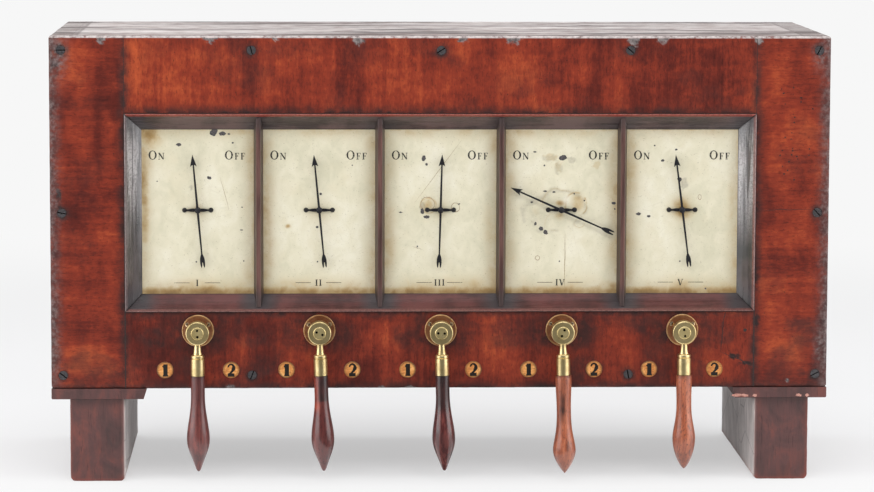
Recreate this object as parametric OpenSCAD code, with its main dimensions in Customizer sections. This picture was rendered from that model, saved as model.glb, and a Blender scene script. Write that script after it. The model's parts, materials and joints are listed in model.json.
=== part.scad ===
/* [Case] */
// Width of the case across its front
case_w = 914; // [840:1:1000]
// Height of the case without its feet
case_h = 415; // [390:1:450]
// Depth of the case, front face to back face
case_d = 333; // [290:1:370]
// Thickness of the two side boards
side_t = 26; // [20:1:32]
// Thickness of the top board
top_t = 22; // [16:1:26]
// Thickness of the bottom board
bottom_t = 19; // [16:1:24]
// Thickness of the back board
back_t = 12; // [8:1:18]
// Radius worn onto the outer edges of the case
edge_r = 3.5; // [1:0.5:6]

/* [Front frame] */
// Thickness of the front frame
front_t = 16; // [14:1:20]
// Width of the upright frame members
stile_w = 87; // [80:1:95]
// Height of the cross members above and below the window
rail_w = 91; // [82:1:100]
// Diameter of the frame screw heads
screw_head_d = 10.5; // [8:0.5:12]
// Diameter of the frame screw shanks
screw_shank_d = 5; // [3:0.5:6]
// Grip of the frame screws in the boards behind
screw_bite = 20; // [12:1:30]
// Distance of the upper screws from the top edge
screw_drop = 17; // [12:1:20]
// Distance of the lower screws from the bottom edge
screw_rise = 16; // [12:0.5:20]
// Distance of the corner screws from the case ends
screw_inset = 14; // [10:0.5:18]

/* [Window] */
// Width of the rounded bead round the window
bead_w = 4; // [3:0.5:6]
// Height of the bead above the front face
bead_proud = 4; // [2.5:0.5:6]
// Width of the sloping face inside the bead
splay_w = 15.6; // [10:0.2:20]
// Depth of the hollow worked in the sloping face
splay_hollow = 0.8; // [0.4:0.1:1.5]
// Width of a window bar at the dials
bar_w = 11.5; // [9:0.5:15]
// Width of the flat front of a window bar
bar_face_w = 5; // [3:0.5:7]
// Setback of the window bars behind the front face
bar_setback = 1; // [0:0.5:3]

/* [Dials] */
// Thickness of a dial plate
plate_t = 1.5; // [1:0.25:3]
// Space between neighbouring dial plates
plate_gap = 1.5; // [0.5:0.5:3]
// Overlap of a dial plate under the window moulding
plate_lap = 6; // [4:0.5:8]
// Thickness of the board that carries the dials
dial_board_t = 12; // [8:1:18]
// Overlap of the dial board on the frame behind the window
dial_board_lap = 8; // [5:1:10]

/* [Needles] */
// Pivot of the needle to the tip of its arrowhead
needle_up = 66; // [55:1:72]
// Pivot of the needle to the end of its tail
needle_down = 68; // [55:1:72]
// Width of the needle at its hub
needle_w = 2.2; // [1.5:0.1:3]
// Thickness of the needle
needle_t = 1.2; // [0.8:0.1:2]
// Length of the arrowhead
arrow_l = 12; // [8:0.5:15]
// Width of the arrowhead over its barbs
arrow_w = 8; // [5:0.5:9]
// Length of the forked tail
tail_l = 15.8; // [10:0.5:20]
// Width of the forked tail
tail_w = 6.7; // [4:0.1:8]
// Diameter of the needle hub
hub_d = 6.5; // [5:0.5:7.5]
// Diameter of the needle spindle
pivot_d = 3; // [2:0.25:4]
// Distance from the middle of the bridge to its screws
bridge_reach = 15.5; // [12:0.5:20]
// Diameter of the bridge ends
bridge_end_d = 7; // [5:0.5:9]
// Diameter of the bearing boss on the bridge
bridge_boss_d = 8; // [6:0.5:10]

/* [Coils] */
// Width of one coil along the case
coil_l = 24; // [16:1:30]
// Space between the two coils of a dial
coil_gap = 8; // [7:0.5:14]
// Height of a coil
coil_h = 80; // [72:1:96]
// Depth of a coil, front to back
coil_d = 34; // [30:1:44]
// Thickness of the coil former
former_t = 2; // [1:0.25:3]
// Depth of the wire wound on a former
winding_t = 7; // [4:0.5:8]
// Length of the magnet that swings in the coils
magnet_l = 50; // [36:1:54]

/* [Handles] */
// Height of the handle spindles below the window
axis_drop = 22; // [20.5:0.5:26]
// Diameter of the brass rose behind a handle
rose_d = 37.7; // [34:0.1:40]
// Thickness of the rose
rose_t = 2.6; // [2:0.1:4]
// Diameter of the handle boss
boss_d = 27.7; // [24:0.1:32]
// Thickness of the handle boss
boss_t = 13; // [11:0.5:15]
// Front of the boss to the front face of the case
boss_reach = 30; // [26:0.5:36]
// Diameter of the handle spindle
spindle_d = 8; // [6:0.5:10]
// Diameter of the bush that lines the frame
bush_d = 14; // [12.5:0.5:17]
// Diameter of the two-hole nut
nut_d = 15; // [12:0.5:18]
// Distance between the two holes of the nut
nut_hole_pitch = 7.4; // [5:0.2:9]
// Diameter of the neck below the boss
neck_d = 8; // [6:0.2:10]
// Spindle to the collar at the foot of the neck
neck_l = 27; // [22:0.5:34]
// Height of the collar
collar_h = 3.5; // [2:0.5:6]
// Diameter of the brass ferrule
ferrule_d = 16.2; // [14:0.1:18]
// Length of the ferrule
ferrule_l = 20; // [16:0.5:26]
// Length of the wooden grip below the ferrule
grip_l = 113; // [90:1:125]
// Greatest diameter of the wooden grip
grip_d = 26.8; // [22:0.2:30]
// Diameter of the tenon in the ferrule
tenon_d = 10.5; // [8:0.5:11.5]

/* [Commutator] */
// Diameter of the wooden contact barrel
barrel_d = 30; // [24:1:36]
// Length of the contact barrel
barrel_l = 36; // [24:1:44]
// Back of the front frame to the contact barrel
barrel_set = 24; // [18:1:34]
// Thickness of the rail that carries the spindle ends
rail_t = 16; // [12:1:24]
// Width of a contact spring
spring_w = 14; // [8:1:18]
// Thickness of a contact spring
spring_t = 0.8; // [0.5:0.1:1.2]
// Height of a terminal post
post_h = 22; // [16:1:30]

/* [Discs] */
// Diameter of the inlaid label discs
disc_d = 19.6; // [16:0.2:22]
// Thickness of a label disc
disc_t = 2; // [1.5:0.1:3]
// Distance of a disc to the side of its handle
disc_side = 38.7; // [34:0.1:44]
// Height of the discs above the bottom edge of the case
disc_rise = 22.1; // [16:0.1:28]

/* [Feet] */
// Width of a foot
foot_w = 64; // [50:0.5:80]
// Height of a foot below its cap
foot_h = 97.5; // [90:0.5:120]
// Distance of a foot from the end of the case
foot_inset = 21.7; // [10:0.1:30]
// Radius worn onto the lower corners of a foot
foot_r = 8; // [2:0.5:10]
// Length of the cap between a foot and the case
cap_l = 111; // [95:1:125]
// Thickness of the cap
cap_t = 12.4; // [8:0.1:18]

/* [Hidden] */
$fn = 64;
STATIONS = 5;
middle = (STATIONS - 1) / 2;

// Clearances: a shaft in its bearing, a fixed piece in its seat, two bodies side by side
run_fit = 0.05;
seat_fit = 0.1;
body_gap = 0.3;
// Overshoot of a cutting tool past the face it cuts
over = 1;

// Lean of each needle from upright as photographed, towards +X
needle_rest = [-5.2, -5.5, 1.5, -66, -7.4];
// Lean of each hanging handle, its tip towards +X
handle_lean = [0.3, 1.8, 1.5, 1.1, 0.4];
// Turn of the two nut holes from level
nut_turn = [92, -25, -4, 65, -81];
// Form of each grip: 0 pointed, 1 low belly, 2 egg shaped
grip_form = [0, 0, 0, 1, 2];
// For each form: top and waist as shares of the greatest diameter, places of waist and
// belly along the length, power of the swelling, share left at the end of the cone below
// the belly and its power, and the two powers of the round end
GRIP_FORMS = [
    [0.620, 0.605, 0.19, 0.660, 1.20, 0.27, 1.10, 10.0, 2.00],
    [0.720, 0.630, 0.33, 0.765, 1.80, 1.00, 1.00, 1.70, 1.10],
    [0.700, 0.655, 0.29, 0.675, 1.40, 1.00, 1.00, 1.75, 1.42],
];
// Length that each form adds to the grip
grip_extra = [0, 3.5, -1.5];
// Steps along each swelling part of a grip
GRIP_STEPS = 14;

// Heights
base_z = foot_h + cap_t;
top_z = base_z + case_h;
window_low = base_z + rail_w;
window_high = top_z - rail_w;
window_mid = (window_low + window_high) / 2;
pivot_lift = 2;
pivot_z = window_mid + pivot_lift;
axis_z = window_low - axis_drop;
floor_z = base_z + bottom_t;

// Depths behind the front face of the case
dial_face = front_t - plate_t;
dial_back = front_t + dial_board_t;
coil_mid = dial_back + coil_d / 2;
cock_front = dial_back + coil_d;
cock_t = 3;
barrel_front = front_t + barrel_set;
barrel_back = barrel_front + barrel_l;
rail_gap = 20;
rail_front = barrel_back + rail_gap;
rail_back = rail_front + rail_t;

// Bridge and needle, the needle kept just clear of the bridge boss
bridge_t = 2.2;
bridge_boss_t = 4.5;
hub_t = 3;
hub_cap = 0.5;
hub_bevel = 0.8;
blade_set = 0.6;
hub_back = dial_face - bridge_boss_t - body_gap;
hub_front = hub_back - hub_t;
blade_back = hub_back - blade_set;

// Screws and rim of a rose, the screw seats kept just inside the rim
rose_screw_d = 2.8;
rose_head_d = 6;
rose_screw_bite = 12;
rim_w = 1.6;
rim_h = 0.7;
rim_bevel = 0.6;
rim_clear = 0.15;

// Solid brass above the tenon of a grip
socket_end = 4;
// Height of an inlaid disc above the front face
disc_proud = 0.4;
// Turn from one screw slot to the next
slot_step = 37;

// Nut in its recess in the boss
nut_seat = 4;
nut_proud = 0.8;
nut_stud_d = 5;
nut_stud_l = 2.4;

// Depths in front of the front face of the case
arm_y = -boss_reach + boss_t / 2;
reach = max(boss_reach + nut_proud, -arm_y + grip_d / 2);
front_y = (reach - case_d) / 2;

// Window and stations
window_w = case_w - 2 * stile_w;
window_h = window_high - window_low;
splay_end = bead_w + splay_w;
splay_start = 0.5;
sight_w = window_w - 2 * splay_end;
sight_h = window_h - 2 * splay_end;
pitch = (sight_w + bar_w) / STATIONS;
plate_w = pitch - plate_gap;
plate_h = sight_h + 2 * plate_lap;
inner_w = case_w - 2 * side_t;
foot_x = case_w / 2 - foot_inset - foot_w / 2;
cap_x = case_w / 2 - cap_l / 2;

MAHOGANY = "#7d3220";
CARCASS = "#6e3a2c";
FOOT_WOOD = "#5f423b";
BLACK_IRON = "#2b2826";
BRASS = "#a8904c";
STEEL = "#8a8a88";
DIAL_CREAM = "#e4dec6";
BOXWOOD = "#d79a4c";
GRIP_DARK = "#4a1f1c";
GRIP_LIGHT = "#a8583a";
WIRE_GREEN = "#4f5f3a";

function station_x(i) = (i - middle) * pitch;

// Rounded rectangle about the origin, its corners true arcs
module rounded_rect(w, h, r) {
    square([w - 2 * r, h], center = true);
    square([w, h - 2 * r], center = true);
    for (sx = [-1, 1], sy = [-1, 1])
        translate([sx * (w / 2 - r), sy * (h / 2 - r)])
            circle(r);
}

// Round bar along Y, placed by its two ends behind the front face
module bar_y(d, from, to) {
    translate([0, from, 0])
        rotate([-90, 0, 0])
            cylinder(d = d, h = to - from);
}

// Turned form about the Y axis from points of radius and depth
module turned_y(points) {
    rotate([-90, 0, 0])
        rotate_extrude()
            polygon(points);
}

module at_pivot(i) {
    translate([station_x(i), front_y, pivot_z])
        children();
}

module at_axis(i) {
    translate([station_x(i), front_y, axis_z])
        children();
}

// Outer envelope of the closed case, with its worn edges
module case_envelope() {
    translate([0, front_y + case_d / 2, base_z + case_h / 2])
        intersection() {
            linear_extrude(case_h, center = true)
                rounded_rect(case_w, case_d, edge_r);
            rotate([90, 0, 0])
                linear_extrude(case_d, center = true)
                    rounded_rect(case_w, case_h, edge_r);
            rotate([90, 0, 90])
                linear_extrude(case_w, center = true)
                    rounded_rect(case_d, case_h, edge_r);
        }
}

// Block between two corners, given as x, depth behind the front face, and z
module block(low, high) {
    translate([low[0], front_y + low[1], low[2]])
        cube(high - low);
}

module case_board(low, high) {
    intersection() {
        case_envelope();
        block(low, high);
    }
}

// Places of the frame screws as x and z
function frame_screws() = concat(
    [for (x = [-2, -1, 0, 1, 2], z = [top_z - screw_drop, base_z + screw_rise])
        [x * (case_w / 2 - screw_inset) / 2, z]],
    [for (x = [-1, 1]) [x * (case_w / 2 - screw_inset), (base_z + top_z) / 2]]
);

// Countersunk screw along +Y from the front face
module screw_body(fit) {
    head_r = screw_head_d / 2 + fit;
    shank_r = screw_shank_d / 2 + fit;
    land = 0.6;
    turned_y([
        [0, 0],
        [head_r, 0],
        [head_r, land],
        [shank_r, land + head_r - shank_r],
        [shank_r, front_t + screw_bite + fit],
        [0, front_t + screw_bite + fit],
    ]);
}

module screw_holes() {
    for (p = frame_screws())
        translate([p[0], front_y, p[1]])
            screw_body(seat_fit);
}

module front_screws() {
    slot_w = 1.3;
    slot_d = 1.4;
    color(BLACK_IRON)
        for (k = [0 : len(frame_screws()) - 1])
            translate([frame_screws()[k][0], front_y, frame_screws()[k][1]])
                difference() {
                    screw_body(0);
                    rotate([0, slot_step * k, 0])
                        translate([-screw_head_d, -over, -slot_w / 2])
                            cube([2 * screw_head_d, over + slot_d, slot_w]);
                }
}

module top_board() {
    color(CARCASS)
        difference() {
            case_board([-inner_w / 2, front_t, top_z - top_t], [inner_w / 2, case_d, top_z]);
            screw_holes();
        }
}

module bottom_board() {
    color(CARCASS)
        difference() {
            case_board([-inner_w / 2, front_t, base_z], [inner_w / 2, case_d, floor_z]);
            screw_holes();
        }
}

module side_board(side) {
    x = [side * inner_w / 2, side * case_w / 2];
    color(CARCASS)
        difference() {
            case_board([min(x), front_t, base_z], [max(x), case_d, top_z]);
            screw_holes();
        }
}

module side_board_left() {
    side_board(-1);
}

module side_board_right() {
    side_board(1);
}

module back_board() {
    color(CARCASS)
        case_board([-inner_w / 2, case_d - back_t, floor_z], [inner_w / 2, case_d, top_z - top_t]);
}

module front_stile(side) {
    x = [side * window_w / 2, side * case_w / 2];
    color(MAHOGANY)
        difference() {
            case_board([min(x), 0, base_z], [max(x), front_t, top_z]);
            screw_holes();
        }
}

module front_stile_left() {
    front_stile(-1);
}

module front_stile_right() {
    front_stile(1);
}

module front_top_rail() {
    color(MAHOGANY)
        difference() {
            case_board([-window_w / 2, 0, window_high], [window_w / 2, front_t, top_z]);
            screw_holes();
        }
}

module front_bottom_rail() {
    color(MAHOGANY)
        difference() {
            case_board([-window_w / 2, 0, base_z], [window_w / 2, front_t, window_low]);
            screw_holes();
            for (i = [0 : STATIONS - 1])
                at_axis(i) {
                    bar_y(bush_d + 2 * seat_fit, -over, front_t + over);
                    for (a = rose_screw_turns())
                        rotate([0, a, 0])
                            translate([rose_screw_r(), 0, 0])
                                bar_y(rose_screw_d + 2 * seat_fit, -over, rose_screw_bite + seat_fit);
                }
            for (i = [0 : STATIONS - 1], side = [-1, 1])
                at_disc(i, side)
                    bar_y(disc_d + 2 * seat_fit, -over, disc_seat());
        }
}

// Section of the window moulding: inward distance, then depth
module moulding_section() {
    lap = plate_lap + body_gap;
    run = splay_w;
    fall = dial_face - splay_start;
    chord = sqrt(run * run + fall * fall);
    bow_r = (chord * chord / 4 + splay_hollow * splay_hollow) / (2 * splay_hollow);
    off = bow_r - splay_hollow;
    difference() {
        union() {
            polygon([
                [0, front_t],
                [0, -bead_proud + bead_w / 2],
                [bead_w, -bead_proud + bead_w / 2],
                [bead_w, splay_start],
                [splay_end, dial_face],
                [splay_end - lap, dial_face],
                [splay_end - lap, front_t],
            ]);
            translate([bead_w / 2, -bead_proud + bead_w / 2])
                circle(bead_w / 2);
        }
        translate([
            bead_w + run / 2 + off * fall / chord,
            splay_start + fall / 2 - off * run / chord,
        ])
            circle(bow_r, $fn = 128);
    }
}

// One mitred run of moulding along X, its outer edge on z = 0
module moulding_run(length) {
    depth = splay_end + over;
    intersection() {
        rotate([0, 90, 0])
            linear_extrude(length, center = true)
                moulding_section();
        rotate([90, 0, 0])
            linear_extrude(4 * front_t, center = true)
                polygon([
                    [-length / 2, 0],
                    [length / 2, 0],
                    [length / 2 - depth, -depth],
                    [-length / 2 + depth, -depth],
                ]);
    }
}

// Moulding run turned round the window: 0 top, 90 right, 180 bottom, 270 left
module moulding(turn) {
    upright = turn == 90 || turn == 270;
    length = (upright ? window_h : window_w) - 2 * seat_fit;
    half = (upright ? window_w : window_h) / 2 - seat_fit;
    color(MAHOGANY)
        translate([0, front_y, window_mid])
            rotate([0, turn, 0])
                translate([0, 0, half])
                    moulding_run(length);
}

module moulding_top() {
    moulding(0);
}

module moulding_right() {
    moulding(90);
}

module moulding_bottom() {
    moulding(180);
}

module moulding_left() {
    moulding(270);
}

// Window bars with sloping flanks, their ends scribed over the moulding
module window_bars() {
    slope = splay_w / (dial_face - splay_start);
    front_end = sight_h / 2 + (dial_face - bar_setback) * slope - 2 * seat_fit;
    back_end = sight_h / 2 - 2 * seat_fit;
    color(MAHOGANY)
        for (i = [0 : STATIONS - 2])
            translate([station_x(i + 0.5), front_y, window_mid])
                intersection() {
                    linear_extrude(window_h, center = true)
                        polygon([
                            [-bar_face_w / 2, bar_setback],
                            [bar_face_w / 2, bar_setback],
                            [bar_w / 2, dial_face],
                            [-bar_w / 2, dial_face],
                        ]);
                    rotate([90, 0, 90])
                        linear_extrude(2 * bar_w, center = true)
                            polygon([
                                [bar_setback, front_end],
                                [dial_face, back_end],
                                [dial_face, -back_end],
                                [bar_setback, -front_end],
                            ]);
                }
}

module dial_board() {
    spindle_room = 4;
    w = window_w / 2 + dial_board_lap;
    color(CARCASS)
        difference() {
            block(
                [-w, front_t, window_low - dial_board_lap],
                [w, dial_back, window_high + dial_board_lap]
            );
            for (i = [0 : STATIONS - 1])
                at_pivot(i)
                    bar_y(pivot_d + spindle_room, front_t - over, dial_back + over);
        }
}

module dial_plates() {
    spindle_room = 2;
    color(DIAL_CREAM)
        for (i = [0 : STATIONS - 1])
            difference() {
                translate([station_x(i) - plate_w / 2, front_y + dial_face, window_mid - plate_h / 2])
                    cube([plate_w, plate_t, plate_h]);
                at_pivot(i)
                    bar_y(pivot_d + spindle_room, 0, front_t + over);
            }
}

// Bearing bridge screwed on the face of each dial
module pivot_bridges() {
    root = 2.6;
    waist = 1.3;
    color(BLACK_IRON)
        for (i = [0 : STATIONS - 1])
            at_pivot(i)
                difference() {
                    union() {
                        bar_y(bridge_boss_d, dial_face - bridge_boss_t, dial_face);
                        for (side = [-1, 1])
                            translate([side * bridge_reach, 0, 0])
                                turned_y(bridge_end_points());
                        translate([0, dial_face, 0])
                            rotate([90, 0, 0])
                                linear_extrude(bridge_t)
                                    polygon([
                                        [-bridge_reach, -waist],
                                        [0, -root],
                                        [bridge_reach, -waist],
                                        [bridge_reach, waist],
                                        [0, root],
                                        [-bridge_reach, waist],
                                    ]);
                    }
                    bar_y(pivot_d + 2 * run_fit, 0, front_t);
                }
}

// Screwed end of the bridge as radius and depth, with a bevelled crown
function bridge_end_points() =
    let (crown = 1, crown_bevel = 1.2, crown_r = bridge_end_d / 2 - crown_bevel)
    [
        [0, dial_face - bridge_t - crown],
        [crown_r, dial_face - bridge_t - crown],
        [bridge_end_d / 2, dial_face - bridge_t],
        [bridge_end_d / 2, dial_face],
        [0, dial_face],
    ];

// Height and depth of the core that a coil is wound on, the wire kept inside the flanges
function core_size(outer) =
    let (flange_lip = 1)
    outer - 2 * winding_t - 2 * flange_lip;

// Two coil formers behind each dial and the cock that carries the spindle end
module coil_frames() {
    core_h = core_size(coil_h);
    core_d = core_size(coil_d);
    color(BRASS)
        for (i = [0 : STATIONS - 1])
            at_pivot(i) {
                for (side = [-1, 1])
                    translate([side * (coil_gap + coil_l) / 2, coil_mid, 0])
                        difference() {
                            union() {
                                cube([coil_l, core_d, core_h], center = true);
                                for (end = [-1, 1])
                                    translate([end * (coil_l - former_t) / 2, 0, 0])
                                        cube([former_t, coil_d, coil_h], center = true);
                            }
                            cube(
                                [coil_l + over, core_d - 2 * former_t, core_h - 2 * former_t],
                                center = true
                            );
                        }
                rear_cock();
            }
}

module rear_cock() {
    span = coil_gap + 2 * coil_l;
    cock_h = 4 * pivot_d;
    difference() {
        translate([-span / 2, cock_front, -cock_h / 2])
            cube([span, cock_t, cock_h]);
        bar_y(pivot_d + 2 * run_fit, cock_front - over, cock_front + cock_t + over);
    }
}

module coil_windings() {
    core_h = core_size(coil_h);
    core_d = core_size(coil_d);
    wound_l = coil_l - 2 * former_t;
    color(WIRE_GREEN)
        for (i = [0 : STATIONS - 1], side = [-1, 1])
            at_pivot(i)
                translate([side * (coil_gap + coil_l) / 2, coil_mid, 0])
                    difference() {
                        cube([wound_l, core_d + 2 * winding_t, core_h + 2 * winding_t], center = true);
                        cube([wound_l + over, core_d, core_h], center = true);
                    }
}

module pointer(i) {
    taper = 0.32;
    fork = 0.55;
    root = needle_w / 2;
    slim = taper * needle_w;
    barb = 2;
    notch = fork * tail_l;
    color(BLACK_IRON)
        at_pivot(i)
            rotate([0, needle_rest[i], 0])
                difference() {
                    union() {
                        turned_y([
                            [0, hub_front],
                            [hub_d / 2 - hub_bevel, hub_front],
                            [hub_d / 2, hub_front + hub_bevel],
                            [hub_d / 2, hub_back],
                            [0, hub_back],
                        ]);
                        translate([0, blade_back, 0])
                            rotate([90, 0, 0])
                                linear_extrude(needle_t)
                                    polygon([
                                        [root, 0],
                                        [slim, needle_up - arrow_l],
                                        [arrow_w / 2, needle_up - arrow_l - barb],
                                        [0, needle_up],
                                        [-arrow_w / 2, needle_up - arrow_l - barb],
                                        [-slim, needle_up - arrow_l],
                                        [-root, 0],
                                        [-slim, -needle_down + tail_l],
                                        [-tail_w / 2, -needle_down],
                                        [0, -needle_down + notch],
                                        [tail_w / 2, -needle_down],
                                        [slim, -needle_down + tail_l],
                                    ]);
                    }
                    bar_y(pivot_d + 2 * run_fit, hub_front + hub_cap, hub_back + over);
                }
}

// Spindle of a needle with the magnet that swings between the coils
module pointer_spindle(i) {
    magnet_w = 7;
    magnet_t = 2.5;
    color(STEEL)
        at_pivot(i)
            rotate([0, needle_rest[i], 0]) {
                bar_y(pivot_d, hub_front + hub_cap + run_fit, cock_front + cock_t);
                translate([0, coil_mid + magnet_t / 2, 0])
                    rotate([90, 0, 0])
                        linear_extrude(magnet_t)
                            polygon([
                                [magnet_w / 2, 0],
                                [0, magnet_l / 2],
                                [-magnet_w / 2, 0],
                                [0, -magnet_l / 2],
                            ]);
            }
}

// Screws that hold a rose: their turn, circle and size
function rose_screw_turns() = [90, 210, 330];
function rose_screw_r() = rose_d / 2 - rim_w - rim_clear - seat_fit - rose_head_d / 2;

module rose_screw_body(fit) {
    head_r = rose_head_d / 2 + fit;
    shank_r = rose_screw_d / 2 + fit;
    turned_y([
        [0, -rose_t],
        [head_r, -rose_t],
        [shank_r, -rose_t + head_r - shank_r],
        [shank_r, rose_screw_bite],
        [0, rose_screw_bite],
    ]);
}

module rose_plates() {
    color(BRASS)
        for (i = [0 : STATIONS - 1])
            at_axis(i)
                difference() {
                    union() {
                        turned_y([
                            [0, -rose_t],
                            [rose_d / 2 - rim_w, -rose_t],
                            [rose_d / 2 - rim_w, -rose_t - rim_h],
                            [rose_d / 2 - rim_bevel, -rose_t - rim_h],
                            [rose_d / 2, -rose_t],
                            [rose_d / 2, 0],
                            [0, 0],
                        ]);
                        bar_y(bush_d, -rose_t, front_t);
                    }
                    bar_y(spindle_d + 2 * run_fit, -rose_t - over, front_t + over);
                    for (a = rose_screw_turns())
                        rotate([0, a, 0])
                            translate([rose_screw_r(), 0, 0])
                                rose_screw_body(seat_fit);
                }
}

module rose_screws() {
    slot_w = 0.8;
    slot_d = 0.8;
    color(BRASS)
        for (i = [0 : STATIONS - 1], k = [0 : 2])
            at_axis(i)
                rotate([0, rose_screw_turns()[k], 0])
                    translate([rose_screw_r(), 0, 0])
                        difference() {
                            rose_screw_body(0);
                            rotate([0, slot_step * (k + 3 * i), 0])
                                translate([-rose_head_d, -rose_t - over, -slot_w / 2])
                                    cube([2 * rose_head_d, over + slot_d, slot_w]);
                        }
}

function disc_seat() = disc_t - disc_proud;

module at_disc(i, side) {
    translate([station_x(i) + side * disc_side, front_y, base_z + disc_rise])
        children();
}

module label_discs() {
    round = 0.5;
    color(BOXWOOD)
        for (i = [0 : STATIONS - 1], side = [-1, 1])
            at_disc(i, side)
                turned_y([
                    [0, disc_seat() - disc_t],
                    [disc_d / 2 - round, disc_seat() - disc_t],
                    [disc_d / 2, disc_seat() - disc_t + round],
                    [disc_d / 2, disc_seat()],
                    [0, disc_seat()],
                ]);
}

// Boss, neck and ferrule of a handle, turned and brazed as one arm
module handle_arm(i) {
    round = 1.6;
    hub_wall = 1.5;
    hub_r = nut_d / 2 + hub_wall;
    hub_end = -rose_t - body_gap;
    drum_back = -boss_reach + boss_t;
    socket_r = tenon_d / 2 + seat_fit;
    color(BRASS)
        at_axis(i)
            rotate([0, -handle_lean[i], 0])
                difference() {
                    union() {
                        turned_y(concat(
                            [[0, hub_end], [hub_r, hub_end], [hub_r, drum_back], [boss_d / 2, drum_back]],
                            [for (a = [0 : 15 : 90])
                                [boss_d / 2 - round * (1 - cos(a)), -boss_reach + round * (1 - sin(a))]],
                            [[0, -boss_reach]]
                        ));
                        translate([0, arm_y, 0])
                            rotate_extrude()
                                polygon(arm_points());
                    }
                    bar_y(spindle_d + 2 * run_fit, -boss_reach - over, hub_end + over);
                    bar_y(nut_d + 2 * seat_fit, -boss_reach - over, -boss_reach + nut_seat);
                    translate([0, arm_y, -neck_l - collar_h - ferrule_l - over])
                        cylinder(r = socket_r, h = tenon_l() + seat_fit + over);
                }
}

function tenon_l() = ferrule_l - socket_end;

// Neck, collar and ferrule as radius and height, the neck flaring to the collar
function arm_points() =
    let (
        neck_r = neck_d / 2,
        flare = 1.3,
        shoulder = 1.5,
        collar_step = 0.3,
        groove = 0.9,
        groove_at = [0.6, 0.8, 0.9],
        lip = 0.5,
        neck_end = neck_l - shoulder,
        collar_r = ferrule_d / 2 - collar_step,
        groove_r = ferrule_d / 2 - groove,
        foot = -neck_l - collar_h - ferrule_l
    )
    concat(
        [[0, 0], [neck_r, 0], [neck_r, -boss_d / 2]],
        [for (t = [0.25 : 0.25 : 1])
            [neck_r + flare * t * t, -boss_d / 2 - (neck_end - boss_d / 2) * t]],
        [for (a = [22.5 : 22.5 : 90])
            [neck_r + flare + (collar_r - neck_r - flare) * sin(a), -neck_end - shoulder * (1 - cos(a))]],
        [
            [collar_r, -neck_l - groove_at[0] * collar_h],
            [groove_r, -neck_l - groove_at[1] * collar_h],
            [groove_r, -neck_l - groove_at[2] * collar_h],
            [ferrule_d / 2, -neck_l - collar_h],
            [ferrule_d / 2, foot + lip],
            [ferrule_d / 2 - lip, foot],
            [0, foot],
        ]
    );

function ease(u) = u * u * (3 - 2 * u);

// Outline of a grip as radius and distance below the ferrule
function grip_points(form) =
    let (
        f = GRIP_FORMS[form],
        length = grip_l + grip_extra[form],
        belly_r = grip_d / 2,
        top_r = f[0] * belly_r,
        waist_r = f[1] * belly_r,
        waist_s = f[2] * length,
        belly_s = f[3] * length,
        tip_l = length - belly_s
    )
    concat(
        [[0, tenon_l()], [tenon_d / 2, tenon_l()], [tenon_d / 2, 0]],
        [for (k = [0 : GRIP_STEPS / 2 - 1])
            let (u = 2 * k / GRIP_STEPS)
            [top_r + (waist_r - top_r) * ease(u), -waist_s * u]],
        [for (k = [0 : GRIP_STEPS - 1])
            let (u = k / GRIP_STEPS)
            [waist_r + (belly_r - waist_r) * ease(pow(u, f[4])), -waist_s - (belly_s - waist_s) * u]],
        [for (k = [0 : GRIP_STEPS])
            let (v = sin(90 * k / GRIP_STEPS))
            let (cone_r = belly_r * (1 - (1 - f[5]) * ease(pow(v, f[6]))))
            [cone_r * pow(max(0, 1 - pow(v, f[7])), 1 / f[8]), -belly_s - tip_l * v]]
    );

module handle_grip(i) {
    color(grip_form[i] == 0 ? GRIP_DARK : GRIP_LIGHT)
        at_axis(i)
            rotate([0, -handle_lean[i], 0])
                translate([0, arm_y, -neck_l - collar_h - ferrule_l])
                    rotate_extrude()
                        polygon(grip_points(grip_form[i]));
}

// Round nut, turned by a key in its two holes
module handle_nut(i) {
    hole_d = 3;
    hole_l = 2.2;
    face = -boss_reach - nut_proud;
    seat = -boss_reach + nut_seat;
    color(BRASS)
        at_axis(i)
            rotate([0, -handle_lean[i], 0])
                difference() {
                    turned_y([
                        [0, face],
                        [nut_d / 2 - nut_proud, face],
                        [nut_d / 2, -boss_reach],
                        [nut_d / 2, seat],
                        [0, seat],
                    ]);
                    bar_y(nut_stud_d + 2 * run_fit, seat - nut_stud_l - seat_fit, seat + over);
                    rotate([0, -nut_turn[i], 0])
                        for (side = [-1, 1])
                            translate([side * nut_hole_pitch / 2, 0, 0])
                                bar_y(hole_d, face - over, face + hole_l);
                }
}

// Spindle of a handle with its wooden contact barrel
module commutator(i) {
    stud_end = -boss_reach + nut_seat - nut_stud_l;
    at_axis(i)
        rotate([0, -handle_lean[i], 0]) {
            color(STEEL) {
                bar_y(nut_stud_d, stud_end, -boss_reach + nut_seat);
                bar_y(spindle_d, -boss_reach + nut_seat, rail_back);
            }
            color(BOXWOOD)
                difference() {
                    bar_y(barrel_d, barrel_front, barrel_back);
                    bar_y(spindle_d + 2 * run_fit, barrel_front - over, barrel_back + over);
                }
        }
}

module spindle_rail() {
    head = 2 * spindle_d;
    color(CARCASS)
        difference() {
            block(
                [-inner_w / 2, rail_front, floor_z],
                [inner_w / 2, rail_back, axis_z + head]
            );
            for (i = [0 : STATIONS - 1])
                at_axis(i)
                    bar_y(spindle_d + 2 * run_fit, rail_front - over, rail_back + over);
        }
}

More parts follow.
